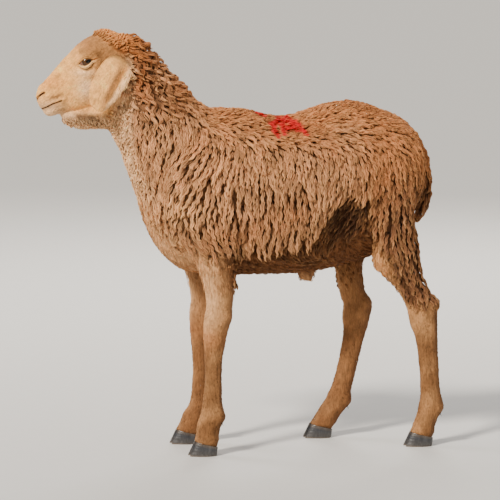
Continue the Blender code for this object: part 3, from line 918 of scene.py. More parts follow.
# %% Colour by place
TEAR_LINE = mm((-329, 50, 779), (-334, 48, 777), (-337, 46.5, 774))
# painted shade along the crease behind the eye's outer corner, above the mouth's corner and under
# the jaw
CORNER_LINE = mm((-297, 52, 787), (-286, 52, 788.5), (-276, 50, 789))
LIP_SHADE = mm((-382, 26, 709), (-364, 29, 715))
JAW_SHADE = mm((-330, 24, 674), (-300, 32, 671), (-274, 38, 676))
# painted shade on the face: under the jaw, below the mouth's corner, over the brow, in the temple
# and under the eye
PAINTED_FACE_SHADE = [  # (centre, reach, how much darker)
    ((-320, 45, 666), (55, 35, 11), 0.62),  # under the jaw
    ((-350, 40, 686), (24, 30, 7), 0.24),  # below the mouth's corner
    ((-315, 45, 800), (22, 30, 6), 0.20),  # over the brow
    ((-286, 60, 798), (11, 40, 22), 0.22),  # temple
    ((-301, 55, 756), (10, 30, 5), 0.28),  # under the eye
]


def painted(colour, *layers):
    """Colours laid over one another, each by its share from 0 to 1."""
    for paint, share in layers:
        colour = colour + (paint - colour) * np.clip(share.reshape(-1, 1), 0, 1)
    return colour


def leg_hair(points, same, normals):
    """Short hair behind the head: legs, brisket, belly and throat."""
    x, _, z = same.T
    inward = -normals[:, 1] * np.sign(points[:, 1])
    rear = ease(normals[:, 0], 0.15, 0.7) * (1 - ease(z, 0.30, 0.36))
    return painted(
        LEG,
        (SHIN, (1 - ease(z, 0.20, 0.25)) * (0.75 + 0.5 * waves(points, 0.05, 21))),
        # painted shade on the backs of the lower legs
        (SHADE_BROWN, rear * (0.55 + 0.4 * waves(points, 0.06, 25))),
        (NAPE_WOOL, 0.45 * near(same, (-85, 75, 235), (30, 50, 22))),
        (CHEST, ease(z, 0.34, 0.40) * (1 - ease(x, -0.10, -0.04))),
        (CHEEK, 0.45 * near(same, (-95, 90, 320), (26, 50, 60))),
        (BELLY_HAIR_AND_SHADE, ease(z, 0.32, 0.36) * ease(x, -0.09, -0.04)),
        # painted shade on the inner faces low down
        (BELLY_HAIR_AND_SHADE, 0.5 * ease(inward, 0.0, 0.6) * (z < 0.45)),
        (LEG, near(same, (278, 90, 345), (35, 60, 60)) * (x > 0.2)),
        (THROAT, ease(z, 0.47, 0.58) * (1 - ease(x, -0.20, -0.17))),
        (CHEST, 0.7 * near(points, (136, 0, 338), (20, 30, 14))),
    )


def face_hair(points):
    """Short hair of the face: pale lid rims, dark lash and tear lines, and painted shade in the
    creases and corners round eye, nose and mouth.
    """
    x, _, z = points.T
    edge, rise, along, _ = eye_edge(points)
    lid = 1 - ease(np.abs(along) / LID_HALF_LENGTH, 0.80, 1.10)
    lower = ease(-rise, -0.0004, 0.0010)
    roll = ease(edge, -0.0012, -0.0002) * (1 - ease(edge, 0.0060, 0.0076)) * lower
    crease = 1.2 * bell(edge - 0.0081, 0.0012) * lower * lid + 0.9 * bell(edge + 0.0004, 0.0005)
    upper = 0.9 * bell(edge - 0.0004, 0.0012) + 0.6 * bell(edge - 0.0047, 0.0007)
    crease = np.clip(crease + (1 - lower) * upper, 0, 1)
    ragged = 0.0015 * waves(points, 0.009, 29)
    lip, jaw = (line_distance(points, line)[0] + ragged for line in (LIP_SHADE, JAW_SHADE))
    return painted(
        FACE,
        (FOREHEAD, ease(z + 0.9 * x, 0.468, 0.535) * 0.9),
        (MUZZLE, near(points, (-385, 10, 740), (35, 30, 16))),
        (LIPS, near(points, (-385, 20, 693), (30, 40, 14)) * 0.9),
        (CHEEK, near(points, (-315, 50, 728), (18, 30, 26)) * 1.1),
        (CHEEK, near(points, (-320, 50, 760), (22, 30, 8)) * 0.8),
        (THROAT, 1 - ease(z + 0.15 * x, 0.620, 0.642)),
        (LID_RIM, roll * lid * (x < -0.28)),
        # dark lash line along the upper lid, and painted shade in the creases round the eye
        (DARK_SKIN_AND_SHADE, crease * 0.75 * (0.3 + 0.7 * lid) * (x < -0.28)),
        (DARK_SKIN_AND_SHADE, 0.85 * bell(line_distance(points, TEAR_LINE)[0], 0.0011)),
        # painted shade in the crease behind the eye, above the mouth's corner and under the jaw
        (SHADE_BROWN, 0.5 * bell(line_distance(points, CORNER_LINE)[0], 0.0018)),
        (SHADE_BROWN, 0.80 * bell(lip, 0.0046)),
        (SHADE_BROWN, 0.85 * bell(jaw, 0.0055)),
        # painted shade in the nostril and along the mouth's line
        (DARK_SKIN_AND_SHADE, 1.3 * bell(line_distance(points, NOSTRIL)[0], 0.0026)),
        (DARK_SKIN_AND_SHADE, 1.1 * bell(mouth_distance(points)[0], 0.0014) * (x < -0.350)),
    )


def ear_hair(points, normals):
    """Pale on the ear's leaf, paler on the rim behind its groove, brown in the groove as painted
    shade, and darker on its inner face.
    """
    _, share = line_distance(points, EAR_LINE)
    middle_x = np.interp(share, np.linspace(0, 1, len(EAR_LINE)), EAR_LINE[:, 0])
    place = (points[:, 0] - middle_x) / np.interp(share, EAR_PLACES, EAR_HALF_WIDTHS)
    groove = bell(place - 0.22, 0.17) * ease(share, 0.12, 0.35) * (1 - 0.7 * ease(share, 0.80, 1.0))
    inward = -normals[:, 1] * np.sign(points[:, 1])
    return painted(
        EAR,
        (CHEEK, 0.8 * ease(place, 0.38, 0.62)),
        # painted shade in the ear's groove
        (EAR_FOLD, 0.60 * groove),
        (EAR_FOLD, ease(inward, 0.0, 0.5) * 0.4),
    )


def fleece_colour(points, same, normals):
    """The long wool: bleached on top, red along the nape, darker on the thigh, and darkened low on
    the flank as painted shade.
    """
    x, _, z = same.T
    high = np.maximum(ease(normals[:, 2], 0.25, 0.85), ease(x + 0.4 * z, 0.40, 0.50))
    fleece = painted(
        WOOL,
        (RUMP_WOOL, high * 0.9),
        (NAPE_WOOL, (1 - ease(x, -0.235, -0.165)) * ease(z, 0.66, 0.76)),
        (NAPE_WOOL, 0.45 * ease(waves(points, 0.16, 22), 0.1, 0.9)),
        (CREST, near(points, (-268, 0, 825), (36, 70, 30)) * 1.2),
        (THIGH_WOOL, ease(x, 0.20, 0.29) * (1 - ease(z, 0.50, 0.62))),
        (CHEST * 1.3, near(same, (-140, 90, 495), (45, 60, 45))),
    )
    # painted shade: darker low on the flank
    return fleece * (1 - 0.16 * (1 - ease(z, 0.42, 0.52)) * (x > -0.05))[:, None]


def colour_at(points, normals):
    """The coat's colour at each place, with its painted shade, as linear red, green and blue."""
    same = standing_alike(points)
    x, y, z = same.T
    wool = wool_share(points, normals)
    head = on_head(points) * ease(z, 0.60, 0.64)
    pit = near(same, (195, 100, 470), (46, 80, 58)) * (z > 0.38)
    wrinkle = near(same, (-115, 100, 425), (45, 60, 22))
    web = near(same, (258, 85, 368), (26, 60, 40)) * ease(-normals[:, 0], 0.1, 0.5)
    web = np.maximum(bell(line_distance(same, FLANK_WEB)[0], 0.0110), web)
    colour = painted(
        leg_hair(points, same, normals),
        (face_hair(points), head),
        (CREST, head * on_crest(points)),
        (ear_hair(points, normals), on_ear(points)),
        (fleece_colour(points, same, normals), wool),
        # darker hair and painted shade in the flank hollow
        (DARK_HAIR_AND_SHADE, 0.85 * ease(pit, 0.20, 0.75) * (1 - 0.4 * wool)),
        (LEG * 1.7, 0.95 * web * (1 - wool)),
        # painted shade in the wrinkle behind the elbow
        (DARK_HAIR_AND_SHADE, 0.45 * wrinkle * wool),
    )
    # painted shade along the flank's fold and in the armpit
    hollow = 0.6 * bell(line_distance(same, FLANK_FOLD)[0], 0.010)
    hollow = np.maximum(hollow, near(same, (-45, 120, 430), (30, 60, 30)))
    shade = 1 + 0.12 * waves(points, 0.035, 23) + 0.09 * waves(points, 0.012, 24) - 0.50 * hollow
    shade += wool * 0.09 * waves(points, 0.050, 28)
    # painted shade in the gap beside the tail
    part = bell(y - 0.0235, 0.0060) * ease(x, 0.350, 0.366) * ease(z, 0.44, 0.47)
    shade -= 0.40 * part * (1 - ease(z, 0.56, 0.60))  # beside the tail
    mottle = 0.11 * waves(points, 0.006, 26) + 0.10 * waves(points, 0.018, 27) - 0.04
    # random mottle on the head's short hair, less the painted shade of the face table
    shade += head * (1 - wool) * (mottle - bumps(same, PAINTED_FACE_SHADE))
    return np.clip(colour * shade[:, None], 0.0, 1.0)


print("dark places on the face", len(PAINTED_FACE_SHADE))

# %% The smear of marking crayon
RADDLE_STROKES = [  # over the near side of the back, as (x, y, z)
    mm((66, 0, 670), (90, 0, 667)),
    mm((48, 0, 654), (72, 0, 660), (96, 0, 656)),
    mm((56, 0, 652), (50, 0, 644), (56, 0, 634)),
    mm((64, 0, 658), (80, 0, 645), (102, 0, 656), (110, 0, 638)),
    mm((86, 0, 655), (96, 0, 644)),
    mm((68, 0, 650), (70, 0, 636)),
    mm((28, 0, 678), (42, 0, 670)),
]


def raddle_share(points):
    """How much red lies at each place: bands round the strokes, seen from the side, broken up."""
    flat = points * (1, 0, 1)
    reach = np.min([line_distance(flat, stroke)[0] for stroke in RADDLE_STROKES], axis=0)
    reach = reach + 0.0026 * waves(points, 0.012, 31)
    return ((1 - ease(reach, 0.0030, 0.0070)) * (points[:, 1] < -0.010))[:, None]


print("raddle strokes", len(RADDLE_STROKES))

# %% [markdown]
# ## The skin
#
# The short-haired parts are left as skin with a fine bump, since hair 3 mm long that lies flat
# reads as a grain along the limb and down the face. The grain is noise that is squeezed across
# the lie of the hair and drawn out along it, so each part keeps its own direction in an
# attribute. Under the wool the skin's colour is darkened as painted shade, less where it faces
# up, which makes the gaps between the locks look deep.

# %% Attributes and material nodes
def set_attribute(mesh, name, values):
    """Writes a number, a vector or, if it is the coat's, a colour for each point of the mesh."""
    kind, key = ("FLOAT", "value") if values.ndim == 1 else ("FLOAT_VECTOR", "vector")
    if name == "coat":
        kind, key = "FLOAT_COLOR", "color"
        values = np.hstack([values, np.ones((len(values), 1))])
    layer = mesh.attributes.new(name, kind, "POINT")
    layer.data.foreach_set(key, np.ascontiguousarray(values, np.float32).ravel())


def new_tree(name):
    made = bpy.data.materials.new(name)
    made.use_nodes = True
    return made, made.node_tree


def add_node(tree, kind, **settings):
    """A node with its properties and its unlinked inputs set by name."""
    node = tree.nodes.new("ShaderNode" + kind)
    for key, value in settings.items():
        if key.replace("_", " ") in node.inputs:
            node.inputs[key.replace("_", " ")].default_value = value
        else:
            setattr(node, key, value)
    return node


def attribute(tree, name, kind="Fac"):
    return add_node(tree, "Attribute", attribute_name=name).outputs[kind]


def object_place(tree):
    return add_node(tree, "TexCoord").outputs["Object"]


def noise(tree, source, scale, detail=3.0):
    node = add_node(tree, "TexNoise", Scale=scale, Detail=detail, Roughness=0.6)
    tree.links.new(source, node.inputs["Vector"])
    return node.outputs["Fac"]


def tinted(tree, colour, source, low, high):
    """The colour multiplied by a number that runs from low to high with the source."""
    spread = add_node(tree, "MapRange", From_Min=0.3, From_Max=0.7, To_Min=low, To_Max=high)
    tree.links.new(source, spread.inputs["Value"])
    scaled = add_node(tree, "VectorMath", operation="SCALE")
    tree.links.new(colour, scaled.inputs[0])
    tree.links.new(spread.outputs["Result"], scaled.inputs["Scale"])
    return scaled.outputs["Vector"]


def ramp(tree, source, *marks):
    """A colour ramp with a stop for each (place, red, green, blue)."""
    node = add_node(tree, "ValToRGB")
    stops = node.color_ramp.elements
    for _ in marks[2:]:
        stops.new(0.5)
    for stop, (place, *colour) in zip(stops, marks):
        stop.position, stop.color = place, (*colour, 1.0)
    tree.links.new(source, node.inputs["Fac"])
    return node.outputs["Color"]


def bump(tree, height, strength, distance, below=None):
    node = add_node(tree, "Bump", Strength=strength, Distance=distance)
    tree.links.new(height, node.inputs["Height"])
    if below is not None:
        tree.links.new(below, node.inputs["Normal"])
    return node.outputs["Normal"]


def finish_shader(tree, colour, normal=None, **uniform):
    """Links colour and normal to the shader, and sets its uniform inputs on their own sockets."""
    shader = tree.nodes["Principled BSDF"]
    tree.links.new(colour, shader.inputs["Base Color"])
    if normal is not None:
        tree.links.new(normal, shader.inputs["Normal"])
    for key, value in uniform.items():
        shader.inputs[key.replace("_", " ")].default_value = value


# %% Skin piece
def grain_of(points):
    """Places squeezed along the lie of the hair: down the legs, the face and the ears."""

    def squeezed(way, share):
        way = unit(np.array(way))
        return points - (1 - share) * (points @ way)[:, None] * way

    face_way = (NOSE[0] - POLL[0], 0.0, NOSE[1] - POLL[1])
    grain = squeezed((0.05, 0.0, -1.0), 0.16)
    grain = grain + (squeezed(face_way, 0.30) - grain) * on_head(points)[:, None]
    ear_grain = squeezed((-0.04, 0.02, -0.09), 0.25)
    return grain + (ear_grain - grain) * on_ear(points, 0.004)[:, None]


def hair_material():
    """Short flat hair: colour from the skin's points, mottled, with a grain along its lie."""
    made, tree = new_tree("short_hair")
    colour, grain = attribute(tree, "coat", "Color"), attribute(tree, "grain", "Vector")
    place = object_place(tree)
    fine, wisps, blotches = (
        noise(tree, grain, 900.0), noise(tree, grain, 260.0), noise(tree, place, 70.0, 4.0)
    )
    colour = tinted(tree, colour, fine, 0.74, 1.18)
    colour = tinted(tree, colour, wisps, 0.78, 1.16)
    colour = tinted(tree, colour, blotches, 0.84, 1.12)
    normal = bump(tree, fine, 0.7, 0.0009, bump(tree, wisps, 0.8, 0.0022))
    finish_shader(
        tree, colour, normal,
        Roughness=0.82, Specular_IOR_Level=0.12, Sheen_Weight=0.02, Sheen_Roughness=0.5,
    )
    return made


NORMALS = normals_of(STRAIGHT, triangles_of(SKIN))
WOOL_AT = wool_share(STRAIGHT, NORMALS)
skin_colour = colour_at(STRAIGHT, NORMALS)
# painted shade: the skin under the wool is darkened, less where it faces up, so the gaps between
# the locks look deep
dark = (0.55 - 0.35 * ease(NORMALS[:, 2], 0.3, 0.8)) * ease(WOOL_AT, 0.3, 0.9)
skin_colour *= 1 - dark[:, None]
skin_colour += (RADDLE - skin_colour) * 0.6 * raddle_share(STRAIGHT)
set_attribute(SKIN, "coat", skin_colour)
set_attribute(SKIN, "grain", grain_of(STRAIGHT))
skin = add_piece("skin", SKIN, hair_material())
FLESH = ["head", "neck", "trunk", "tail", "ear_left", "ear_right", *LIMBS]
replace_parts(skin, *FLESH)
print("skin stands for", len(FLESH), "solids")

# %% [markdown]
# ## The eyes
#
# A sheep's eyeball is nearly a sphere with a clear cornea bulging from it, a brown iris and a
# pupil that is a level slot. Here it is one closed surface of revolution about the way the eye
# looks: radius R(a) = R0 + 0.8 mm * exp(-(a / 0.55)^2). Iris, pupil and white are told apart by
# the angle from that axis, kept as attributes, so they stay sharp.

# %% Eyeballs
IRIS_ANGLE, RIM_STOP = 0.84, 0.74  # radians from the gaze, and the ramp's place there
GAZE = unit(np.array([0.28, 0.93, 0.20]))
SLOT_TILT = math.radians(10)


def eye_piece(name, side, look):
    """Surface of revolution over angle a from the gaze and turn b about it, poles closed."""
    level = unit(np.cross(GAZE, (0.0, 0.0, 1.0)))
    rise = np.cross(level, GAZE)
    level, rise = (
        level * math.cos(SLOT_TILT) + rise * math.sin(SLOT_TILT),
        rise * math.cos(SLOT_TILT) - level * math.sin(SLOT_TILT),
    )
    a = np.linspace(0.02, math.pi - 0.02, 90)[:, None]
    b = np.linspace(0, WHOLE_TURN, 96, endpoint=False)[None, :]
    radius = EYE_RADIUS - 0.0003 + 0.0008 * bell(a, 0.55)
    ways = [np.cos(a) + 0 * b, np.sin(a) * np.cos(b), np.sin(a) * np.sin(b)]
    parts = (w[..., None] * v for w, v in zip(ways, (GAZE, level, rise)))
    points = EYE + radius[..., None] * sum(parts)
    points[..., 1] *= side
    shape = points.shape[:2]
    mesh = closed_mesh(name, turn_head(points))
    angle, turn = with_ends(a, shape, 0.0, math.pi), with_ends(b, shape)
    across, upward = with_ends(ways[1], shape), with_ends(ways[2], shape)
    slot = np.hypot(across / 0.44, upward / 0.20) + 0.10 * (np.abs(across) > 0.3)
    set_attribute(mesh, "angle", angle)
    set_attribute(mesh, "slot", slot)
    streak = np.stack([np.cos(turn) * 6, np.sin(turn) * 6, angle * 1.5], axis=-1)
    set_attribute(mesh, "streak", streak)
    return add_piece(name, mesh, look)


def eye_material():
    """Brown iris with radial fibres, a dark rim, a dull white, and a black slot for the pupil."""
    made, tree = new_tree("eyeball")
    angle, slot = attribute(tree, "angle"), attribute(tree, "slot")
    fibres = noise(tree, attribute(tree, "streak", "Vector"), 2.2, 4.0)
    scaled = add_node(tree, "MapRange", From_Max=IRIS_ANGLE / RIM_STOP)
    tree.links.new(angle, scaled.inputs["Value"])
    colour = ramp(
        tree, scaled.outputs["Result"],
        (0.0, 0.060, 0.028, 0.010), (0.50, 0.085, 0.036, 0.013), (0.68, 0.045, 0.020, 0.008),
        (RIM_STOP, 0.012, 0.006, 0.004), (0.80, 0.15, 0.085, 0.050), (1.0, 0.20, 0.08, 0.05),
    )
    iris = tinted(tree, colour, fibres, 0.65, 1.45)
    hole = add_node(tree, "MapRange", interpolation_type="SMOOTHSTEP", From_Min=0.92, From_Max=1.08)
    tree.links.new(slot, hole.inputs["Value"])
    mixed = add_node(tree, "Mix", data_type="RGBA")
    black, white = (s for s in mixed.inputs if s.type == "RGBA")
    black.default_value = (0.004, 0.003, 0.003, 1.0)
    tree.links.new(hole.outputs["Result"], mixed.inputs["Factor"])
    tree.links.new(iris, white)
    finish_shader(
        tree, next(s for s in mixed.outputs if s.type == "RGBA"),
        Roughness=0.12, Specular_IOR_Level=0.18, Coat_Weight=0.16, Coat_Roughness=0.04,
    )
    return made


EYE_LOOK = eye_material()
for word in ("left", "right"):
    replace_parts(eye_piece("eyeball_" + word, side_of(word), EYE_LOOK), "eye_" + word)
print("two eyes of radius", EYE_RADIUS)

# %% [markdown]
# ## The claws
#
# Each foot stands on two horn claws. A claw is a wall that slopes forward at about fifty
# degrees, curved outside and flat beside its neighbour, pointed at the toe and round at the
# heel, with faint growth rings that follow the coronet. Two small dew claws hang behind each
# fetlock.

# %% Claw pieces
def horn_piece(name, grid, rise, stretch, look):
    """A closed horn mesh that keeps how high up it each point is, and its place for streaks."""
    mesh = closed_mesh(name, grid)
    set_attribute(mesh, "rise", rise)
    set_attribute(mesh, "walls", points_of(mesh) * np.array([1.0, 1.0, stretch]))
    return add_piece(name, mesh, look)


def claw_piece(name, foot, side, look):
    """Rings from sole to coronet: a pointed oval (cos^p, sin) scaled, flatter on its inner side."""
    x, y = foot
    half = (FOOT_WIDTH - 0.0024) / 4
    share = np.linspace(0.0, 1.0, 22)[:, None]
    turn = np.linspace(0, WHOLE_TURN, 72, endpoint=False)[None, :]
    front = x - FOOT_LENGTH * (0.655 - 0.295 * share)
    heel = x + FOOT_LENGTH * (0.48 + 0.05 * share)
    centre = heel + 0.42 * (front - heel)
    forward, sideways = np.cos(turn), np.sin(turn)
    reach = np.where(forward > 0, front - centre, centre - heel)
    power = np.where(forward > 0, 1.40, 2.3)
    px = centre + reach * np.sign(forward) * np.abs(forward) ** (2 / power)
    lean = 1 - 0.08 * share + 0.03 * np.sin(share * math.pi)
    width = half * lean * np.where(sideways * side > 0, 1.0, 0.94)
    py = y + side * (0.0012 + half) + width * np.sign(sideways) * np.abs(sideways) ** (2 / power)
    py = py - side * 0.0030 * np.clip(forward, 0, 1) ** 3  # the toes turn a little inward
    top = CORONET_FRONT + (CORONET_HEEL - CORONET_FRONT) * (px - front) / (heel - front)
    ringing = np.sin(share * 31 + 1.2 * forward + np.sin(share * 9)) * ease(share, 0.08, 0.3)
    out = 0.00010 * ringing - 0.0009 * (1 - ease(share, 0.0, 0.06))  # rings, and the sole's bevel
    grid = np.stack([px - out * forward, py + out * sideways, share * (top + 0.0006)], axis=-1)
    return horn_piece(name, grid, with_ends(share, px.shape, 0.0, 1.0), 0.35, look)


def dewclaw_piece(name, centre, side, look):
    """A small horn cone that points down and back, its radius running as sqrt(1 - t^2)."""
    t = np.linspace(0.0, 0.98, 12)[:, None]
    turn = np.linspace(0, WHOLE_TURN, 24, endpoint=False)[None, :]
    size = np.sqrt(1 - t**2)
    px = centre[0] + 0.0062 * t - 0.0030 * size * np.cos(turn)
    py = centre[1] + side * 0.0015 * t + 0.0048 * size * np.sin(turn)
    pz = centre[2] - 0.0105 * t + 0.0040 * size * np.cos(turn)
    rise = 1 - 0.6 * with_ends(t, px.shape, 0.0, 1.0)
    return horn_piece(name, np.stack([px, py, pz], axis=-1), rise, 1.0, look)


def horn_material():
    """Slate horn: darker at the coronet, scuffed pale at the sole, ringed and faintly streaked."""
    made, tree = new_tree("hoof_horn")
    rise, walls = attribute(tree, "rise"), attribute(tree, "walls", "Vector")
    streaks, scuffs = noise(tree, walls, 420.0, 4.0), noise(tree, walls, 120.0, 5.0)
    colour = ramp(
        tree, rise,
        (0.0, 0.15, 0.11, 0.08), (0.12, 0.060, 0.054, 0.050),
        (0.7, 0.034, 0.034, 0.037), (1.0, 0.080, 0.060, 0.045),
    )
    colour = tinted(tree, tinted(tree, colour, streaks, 0.75, 1.30), scuffs, 0.75, 1.30)
    finish_shader(tree, colour, bump(tree, streaks, 0.35, 0.0006), Roughness=0.26)
    return made


HORN_LOOK = horn_material()
for name, foot in FEET.items():
    fetlock_x, fetlock_z = LIMBS[name][0][3]
    for claw, inward in (("inner", -side_of(name)), ("outer", side_of(name))):
        node = f"{name}_{claw}_claw"
        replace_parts(claw_piece("horn_" + node, foot, inward, HORN_LOOK), node)
        place = (fetlock_x + 0.0140, foot[1] + inward * 0.0090, fetlock_z - 0.008)
        dewclaw_piece("dew_" + node, place, inward, HORN_LOOK)
print(2 * len(FEET), "claws and as many dew claws")

# %% [markdown]
# ## The coat
#
# Wool grows in staples: a few dozen crimped fibres that cling together, thick where they leave
# the skin and drawn to a point. Each lock here is a guide path with a few thin strands round it.
# The path leaves the skin at its root, rises to the depth of the coat and then creeps over the
# body the way the wool lies, held to the surface by looking up the nearest skin at each step, so
# no lock stands off like a quill. On the lower flank it may hang clear, which makes the fringe.
# A strand is a three-sided tube that waves with its lock and ends in a point.

# %% Where roots go
FACES = triangles_of(SKIN)
SURFACE = bvhtree.BVHTree.FromPolygons(STRAIGHT.tolist(), FACES.tolist())


def tree_of(points):
    """A search tree over points."""
    tree = kdtree.KDTree(len(points))
    for k, point in enumerate(points):
        tree.insert(point, k)
    tree.balance()
    return tree


def spaced(roots, gap):
    """Keeps roots one at a time, dropping those nearer than their gap to one already kept."""
    tree, dropped, kept = tree_of(roots), np.zeros(len(roots), bool), []
    for k, root in enumerate(roots):
        if not dropped[k]:
            kept.append(k)
            dropped[[found[1] for found in tree.find_range(root, gap[k])]] = True
    return np.array(kept)


def scattered(count, weight, gap=None):
    """Random roots on the skin and the normals there, as dense as area times a weight.

    Gap, a number or a function of the roots, is how near two kept roots may be.
    """
    a, b, c = (STRAIGHT[FACES[:, k]] for k in range(3))
    area = np.linalg.norm(np.cross(b - a, c - a), axis=1)
    chance = np.cumsum(area * weight[FACES].mean(axis=1))
    face = np.searchsorted(chance, rng.uniform(0, chance[-1], count))
    share = rng.dirichlet((1.0, 1.0, 1.0), count)
    root = np.einsum("ij,ijk->ik", share, STRAIGHT[FACES[face]])
    normal = unit(np.einsum("ij,ijk->ik", share, NORMALS[FACES[face]]))
    if gap is None:
        return root, normal
    gaps = gap(root) if callable(gap) else np.full(count, gap)
    kept = spaced(root, gaps)
    return root[kept], normal[kept]


print("roots fall on", len(FACES), "triangles")

# %% Which way the coat lies, and how long and deep it is
SIDE_TURNS = [  # (centre, reach, degrees the lie turns from straight down, backward plus)
    ((240, 0, 640), (100, ANY_Y, 50), 55),
    ((120, 0, 640), (80, ANY_Y, 28), 50),
    ((-20, 0, 665), (60, ANY_Y, 25), 50),
    ((-200, 0, 790), (45, ANY_Y, 45), 40),
    ((-130, 0, 710), (40, ANY_Y, 30), 45),
    ((-125, 0, 595), (45, ANY_Y, 50), -42),
    ((-135, 0, 505), (40, ANY_Y, 35), -28),
    ((-115, 0, 425), (45, ANY_Y, 25), 48),
    ((-60, 0, 560), (30, ANY_Y, 55), -14),
    ((185, 0, 455), (45, ANY_Y, 52), -50),
    ((330, 0, 350), (50, ANY_Y, 80), 18),
    ((345, 0, 470), (35, ANY_Y, 60), 10),
    ((385, 0, 490), (25, ANY_Y, 40), -22),
    ((340, 0, 600), (35, ANY_Y, 45), 28),
]
LENGTHS = [  # (centre, reach, mm by which a lock is longer than on the flank)
    ((-200, 0, 770), (60, ANY_Y, 55), -18),
    ((-150, 0, 480), (45, ANY_Y, 50), -24),
    ((-60, 0, 400), (40, ANY_Y, 30), -16),
    ((200, 0, 650), (170, ANY_Y, 50), -20),
    ((205, 0, 480), (50, ANY_Y, 50), -16),
    ((320, 0, 320), (80, ANY_Y, 70), -18),
    ((370, 0, 540), (25, ANY_Y, 90), -18),
]
DEPTH_PLACES = mm(-240, -150, -30, 100, 230, 340)
DEPTHS = mm(8, 12, 16, 18, 14, 8)


def lie_at(points, normals):
    """The way the hair points, in the skin's plane."""
    turn = -90.0 + bumps(standing_alike(points), SIDE_TURNS)
    turn = np.radians(turn + 9 * waves(points, 0.06, 41))
    way = np.stack([np.cos(turn), np.zeros(len(turn)), np.sin(turn)], axis=-1)
    side = np.sign(points[:, 1:2])
    belly = ease(-normals[:, 2], 0.3, 0.8) * (points[:, 2] > 0.33)
    cheek = ease(points[:, 2] - 0.9 * points[:, 0], 0.965, 1.04)[:, None]
    face_way = np.array([POLL[0] - NOSE[0], 0.0, POLL[1] - NOSE[1]]) / 0.18 * cheek
    face_way = face_way + np.array([0.9, 0.0, -0.5]) * (1 - cheek)
    for wanted, share in (
        (np.array([1.0, 0.0, -0.25]), ease(normals[:, 2], 0.35, 0.9)),
        (np.array([1.0, 0.0, -0.3]), belly * (1 - ease(points[:, 0], 0.24, 0.31))),
        (face_way, on_head(points) * (points[:, 2] > 0.62)),
        (side * (0.0, 0.12, 0.0) + (-0.35, 0.0, -0.9), on_ear(points)),
    ):
        way += (wanted - way) * share[:, None]
    return unit(way - np.einsum("ij,ij->i", way, normals)[:, None] * normals)


def on_tail(points):
    """1 on the hanging part of the tail."""
    away, share = line_distance(points, TAIL_LINE)
    return (1 - ease(away, 0.018, 0.024)) * ease(share, 0.22, 0.42)


def curl_at(points):
    """How tightly a lock curls, from 0 on the body to 1 on the nape."""
    return near(standing_alike(points), (-185, 0, 760), (45, ANY_Y, 75))


def coat_at(points, normals):
    """A lock's length and the depth that it lies at."""
    same = standing_alike(points)
    length = 0.048 + bumps(same, LENGTHS) / 1000
    top, tail = ease(normals[:, 2], 0.45, 0.9), on_tail(points)
    length += (0.021 - length) * top
    depth = np.interp(same[:, 0], DEPTH_PLACES, DEPTHS)
    depth += (0.0095 - depth) * top
    depth *= 1 - 0.45 * near(same, (205, 115, 480), (46, ANY_Y, 50))
    depth += (0.0055 - depth) * (1 - ease(same[:, 2], 0.34, 0.44)) * (same[:, 0] > 0.1)
    depth *= 1 - 0.65 * near(points, (370, 38, 530), (30, 18, 80)) * (1 - tail)
    depth += (0.0050 - depth) * tail
    length += (0.030 - length) * tail
    edge = ease(wool_share(points, normals), 0.1, 0.9)
    return length * (0.45 + 0.55 * edge), depth * (0.4 + 0.6 * edge)


print("turns of the lie", len(SIDE_TURNS), "changes of length", len(LENGTHS))

# %% Guide paths
def crept(roots, normals, look):
    """Paths from each root, held at their depth over the skin.

    Lean is how far each path's tip drifts sideways towards the middle of its clump. Returns the
    points, the skin's normals beneath them, and each point's share of the length.
    """
    share = np.append(0.0, np.linspace(0.16, 1.0, look["steps"]))
    place, normal, way = roots, normals, lie_at(roots, normals)
    path, across = [roots - normals * 0.0012], [normals]
    for part, step in zip(share[1:], np.diff(share)):
        place = place + way * (look["length"] * step)[:, None] + look["lean"] * step
        ground, face = (np.array(v) for v in list(zip(*map(SURFACE.find_nearest, place)))[:2])
        ahead = place - ground
        inside = np.einsum("ij,ij->i", ahead, face)
        away = np.linalg.norm(ahead, axis=1)
        out = unit(np.where(((inside > 0) & (away > 0.002))[:, None], ahead, face))
        normal = unit(normal + (out - normal) * 0.6)
        level = look["depth"] * (0.30 + 0.70 * ease(part, 0.05, 0.50))
        height = np.where(inside > 0, away, -away)
        height = level + look["loose"] * np.maximum(height - level, 0.0)
        place = ground + out * height[:, None]
        path.append(place)
        across.append(normal)
        way = unit(way + 0.6 * (lie_at(place, normal) - way))
    return np.stack(path, axis=1), np.stack(across, axis=1), share


def sampled(values, share, wanted):
    """Values along each path at wanted shares; values (n, k, 3), wanted (n, ...)."""
    place = np.interp(wanted, share, np.arange(len(share)))
    low = np.minimum(place.astype(int), len(share) - 2)
    part = (place - low)[..., None]
    rows = np.arange(len(values))[:, None, None]
    return values[rows, low] * (1 - part) + values[rows, low + 1] * part


# %% [markdown]
# ### The unwrap
#
# Each coat piece carries a map named OFBake, where each lock is a tiny patch at its root's own
# place. The body is unrolled round a line from the nose to the tail, a leg round its own line,
# and an ear is laid flat beside them.

# %% Unwrap of the skin
BODY_AXIS = mm(
    (-400, 700), (-330, 745), (-270, 765), (-215, 720), (-165, 640),
    (-90, 550), (50, 510), (200, 520), (340, 560), (375, 545),
)
PATCH = 0.003  # of the map, for each lock


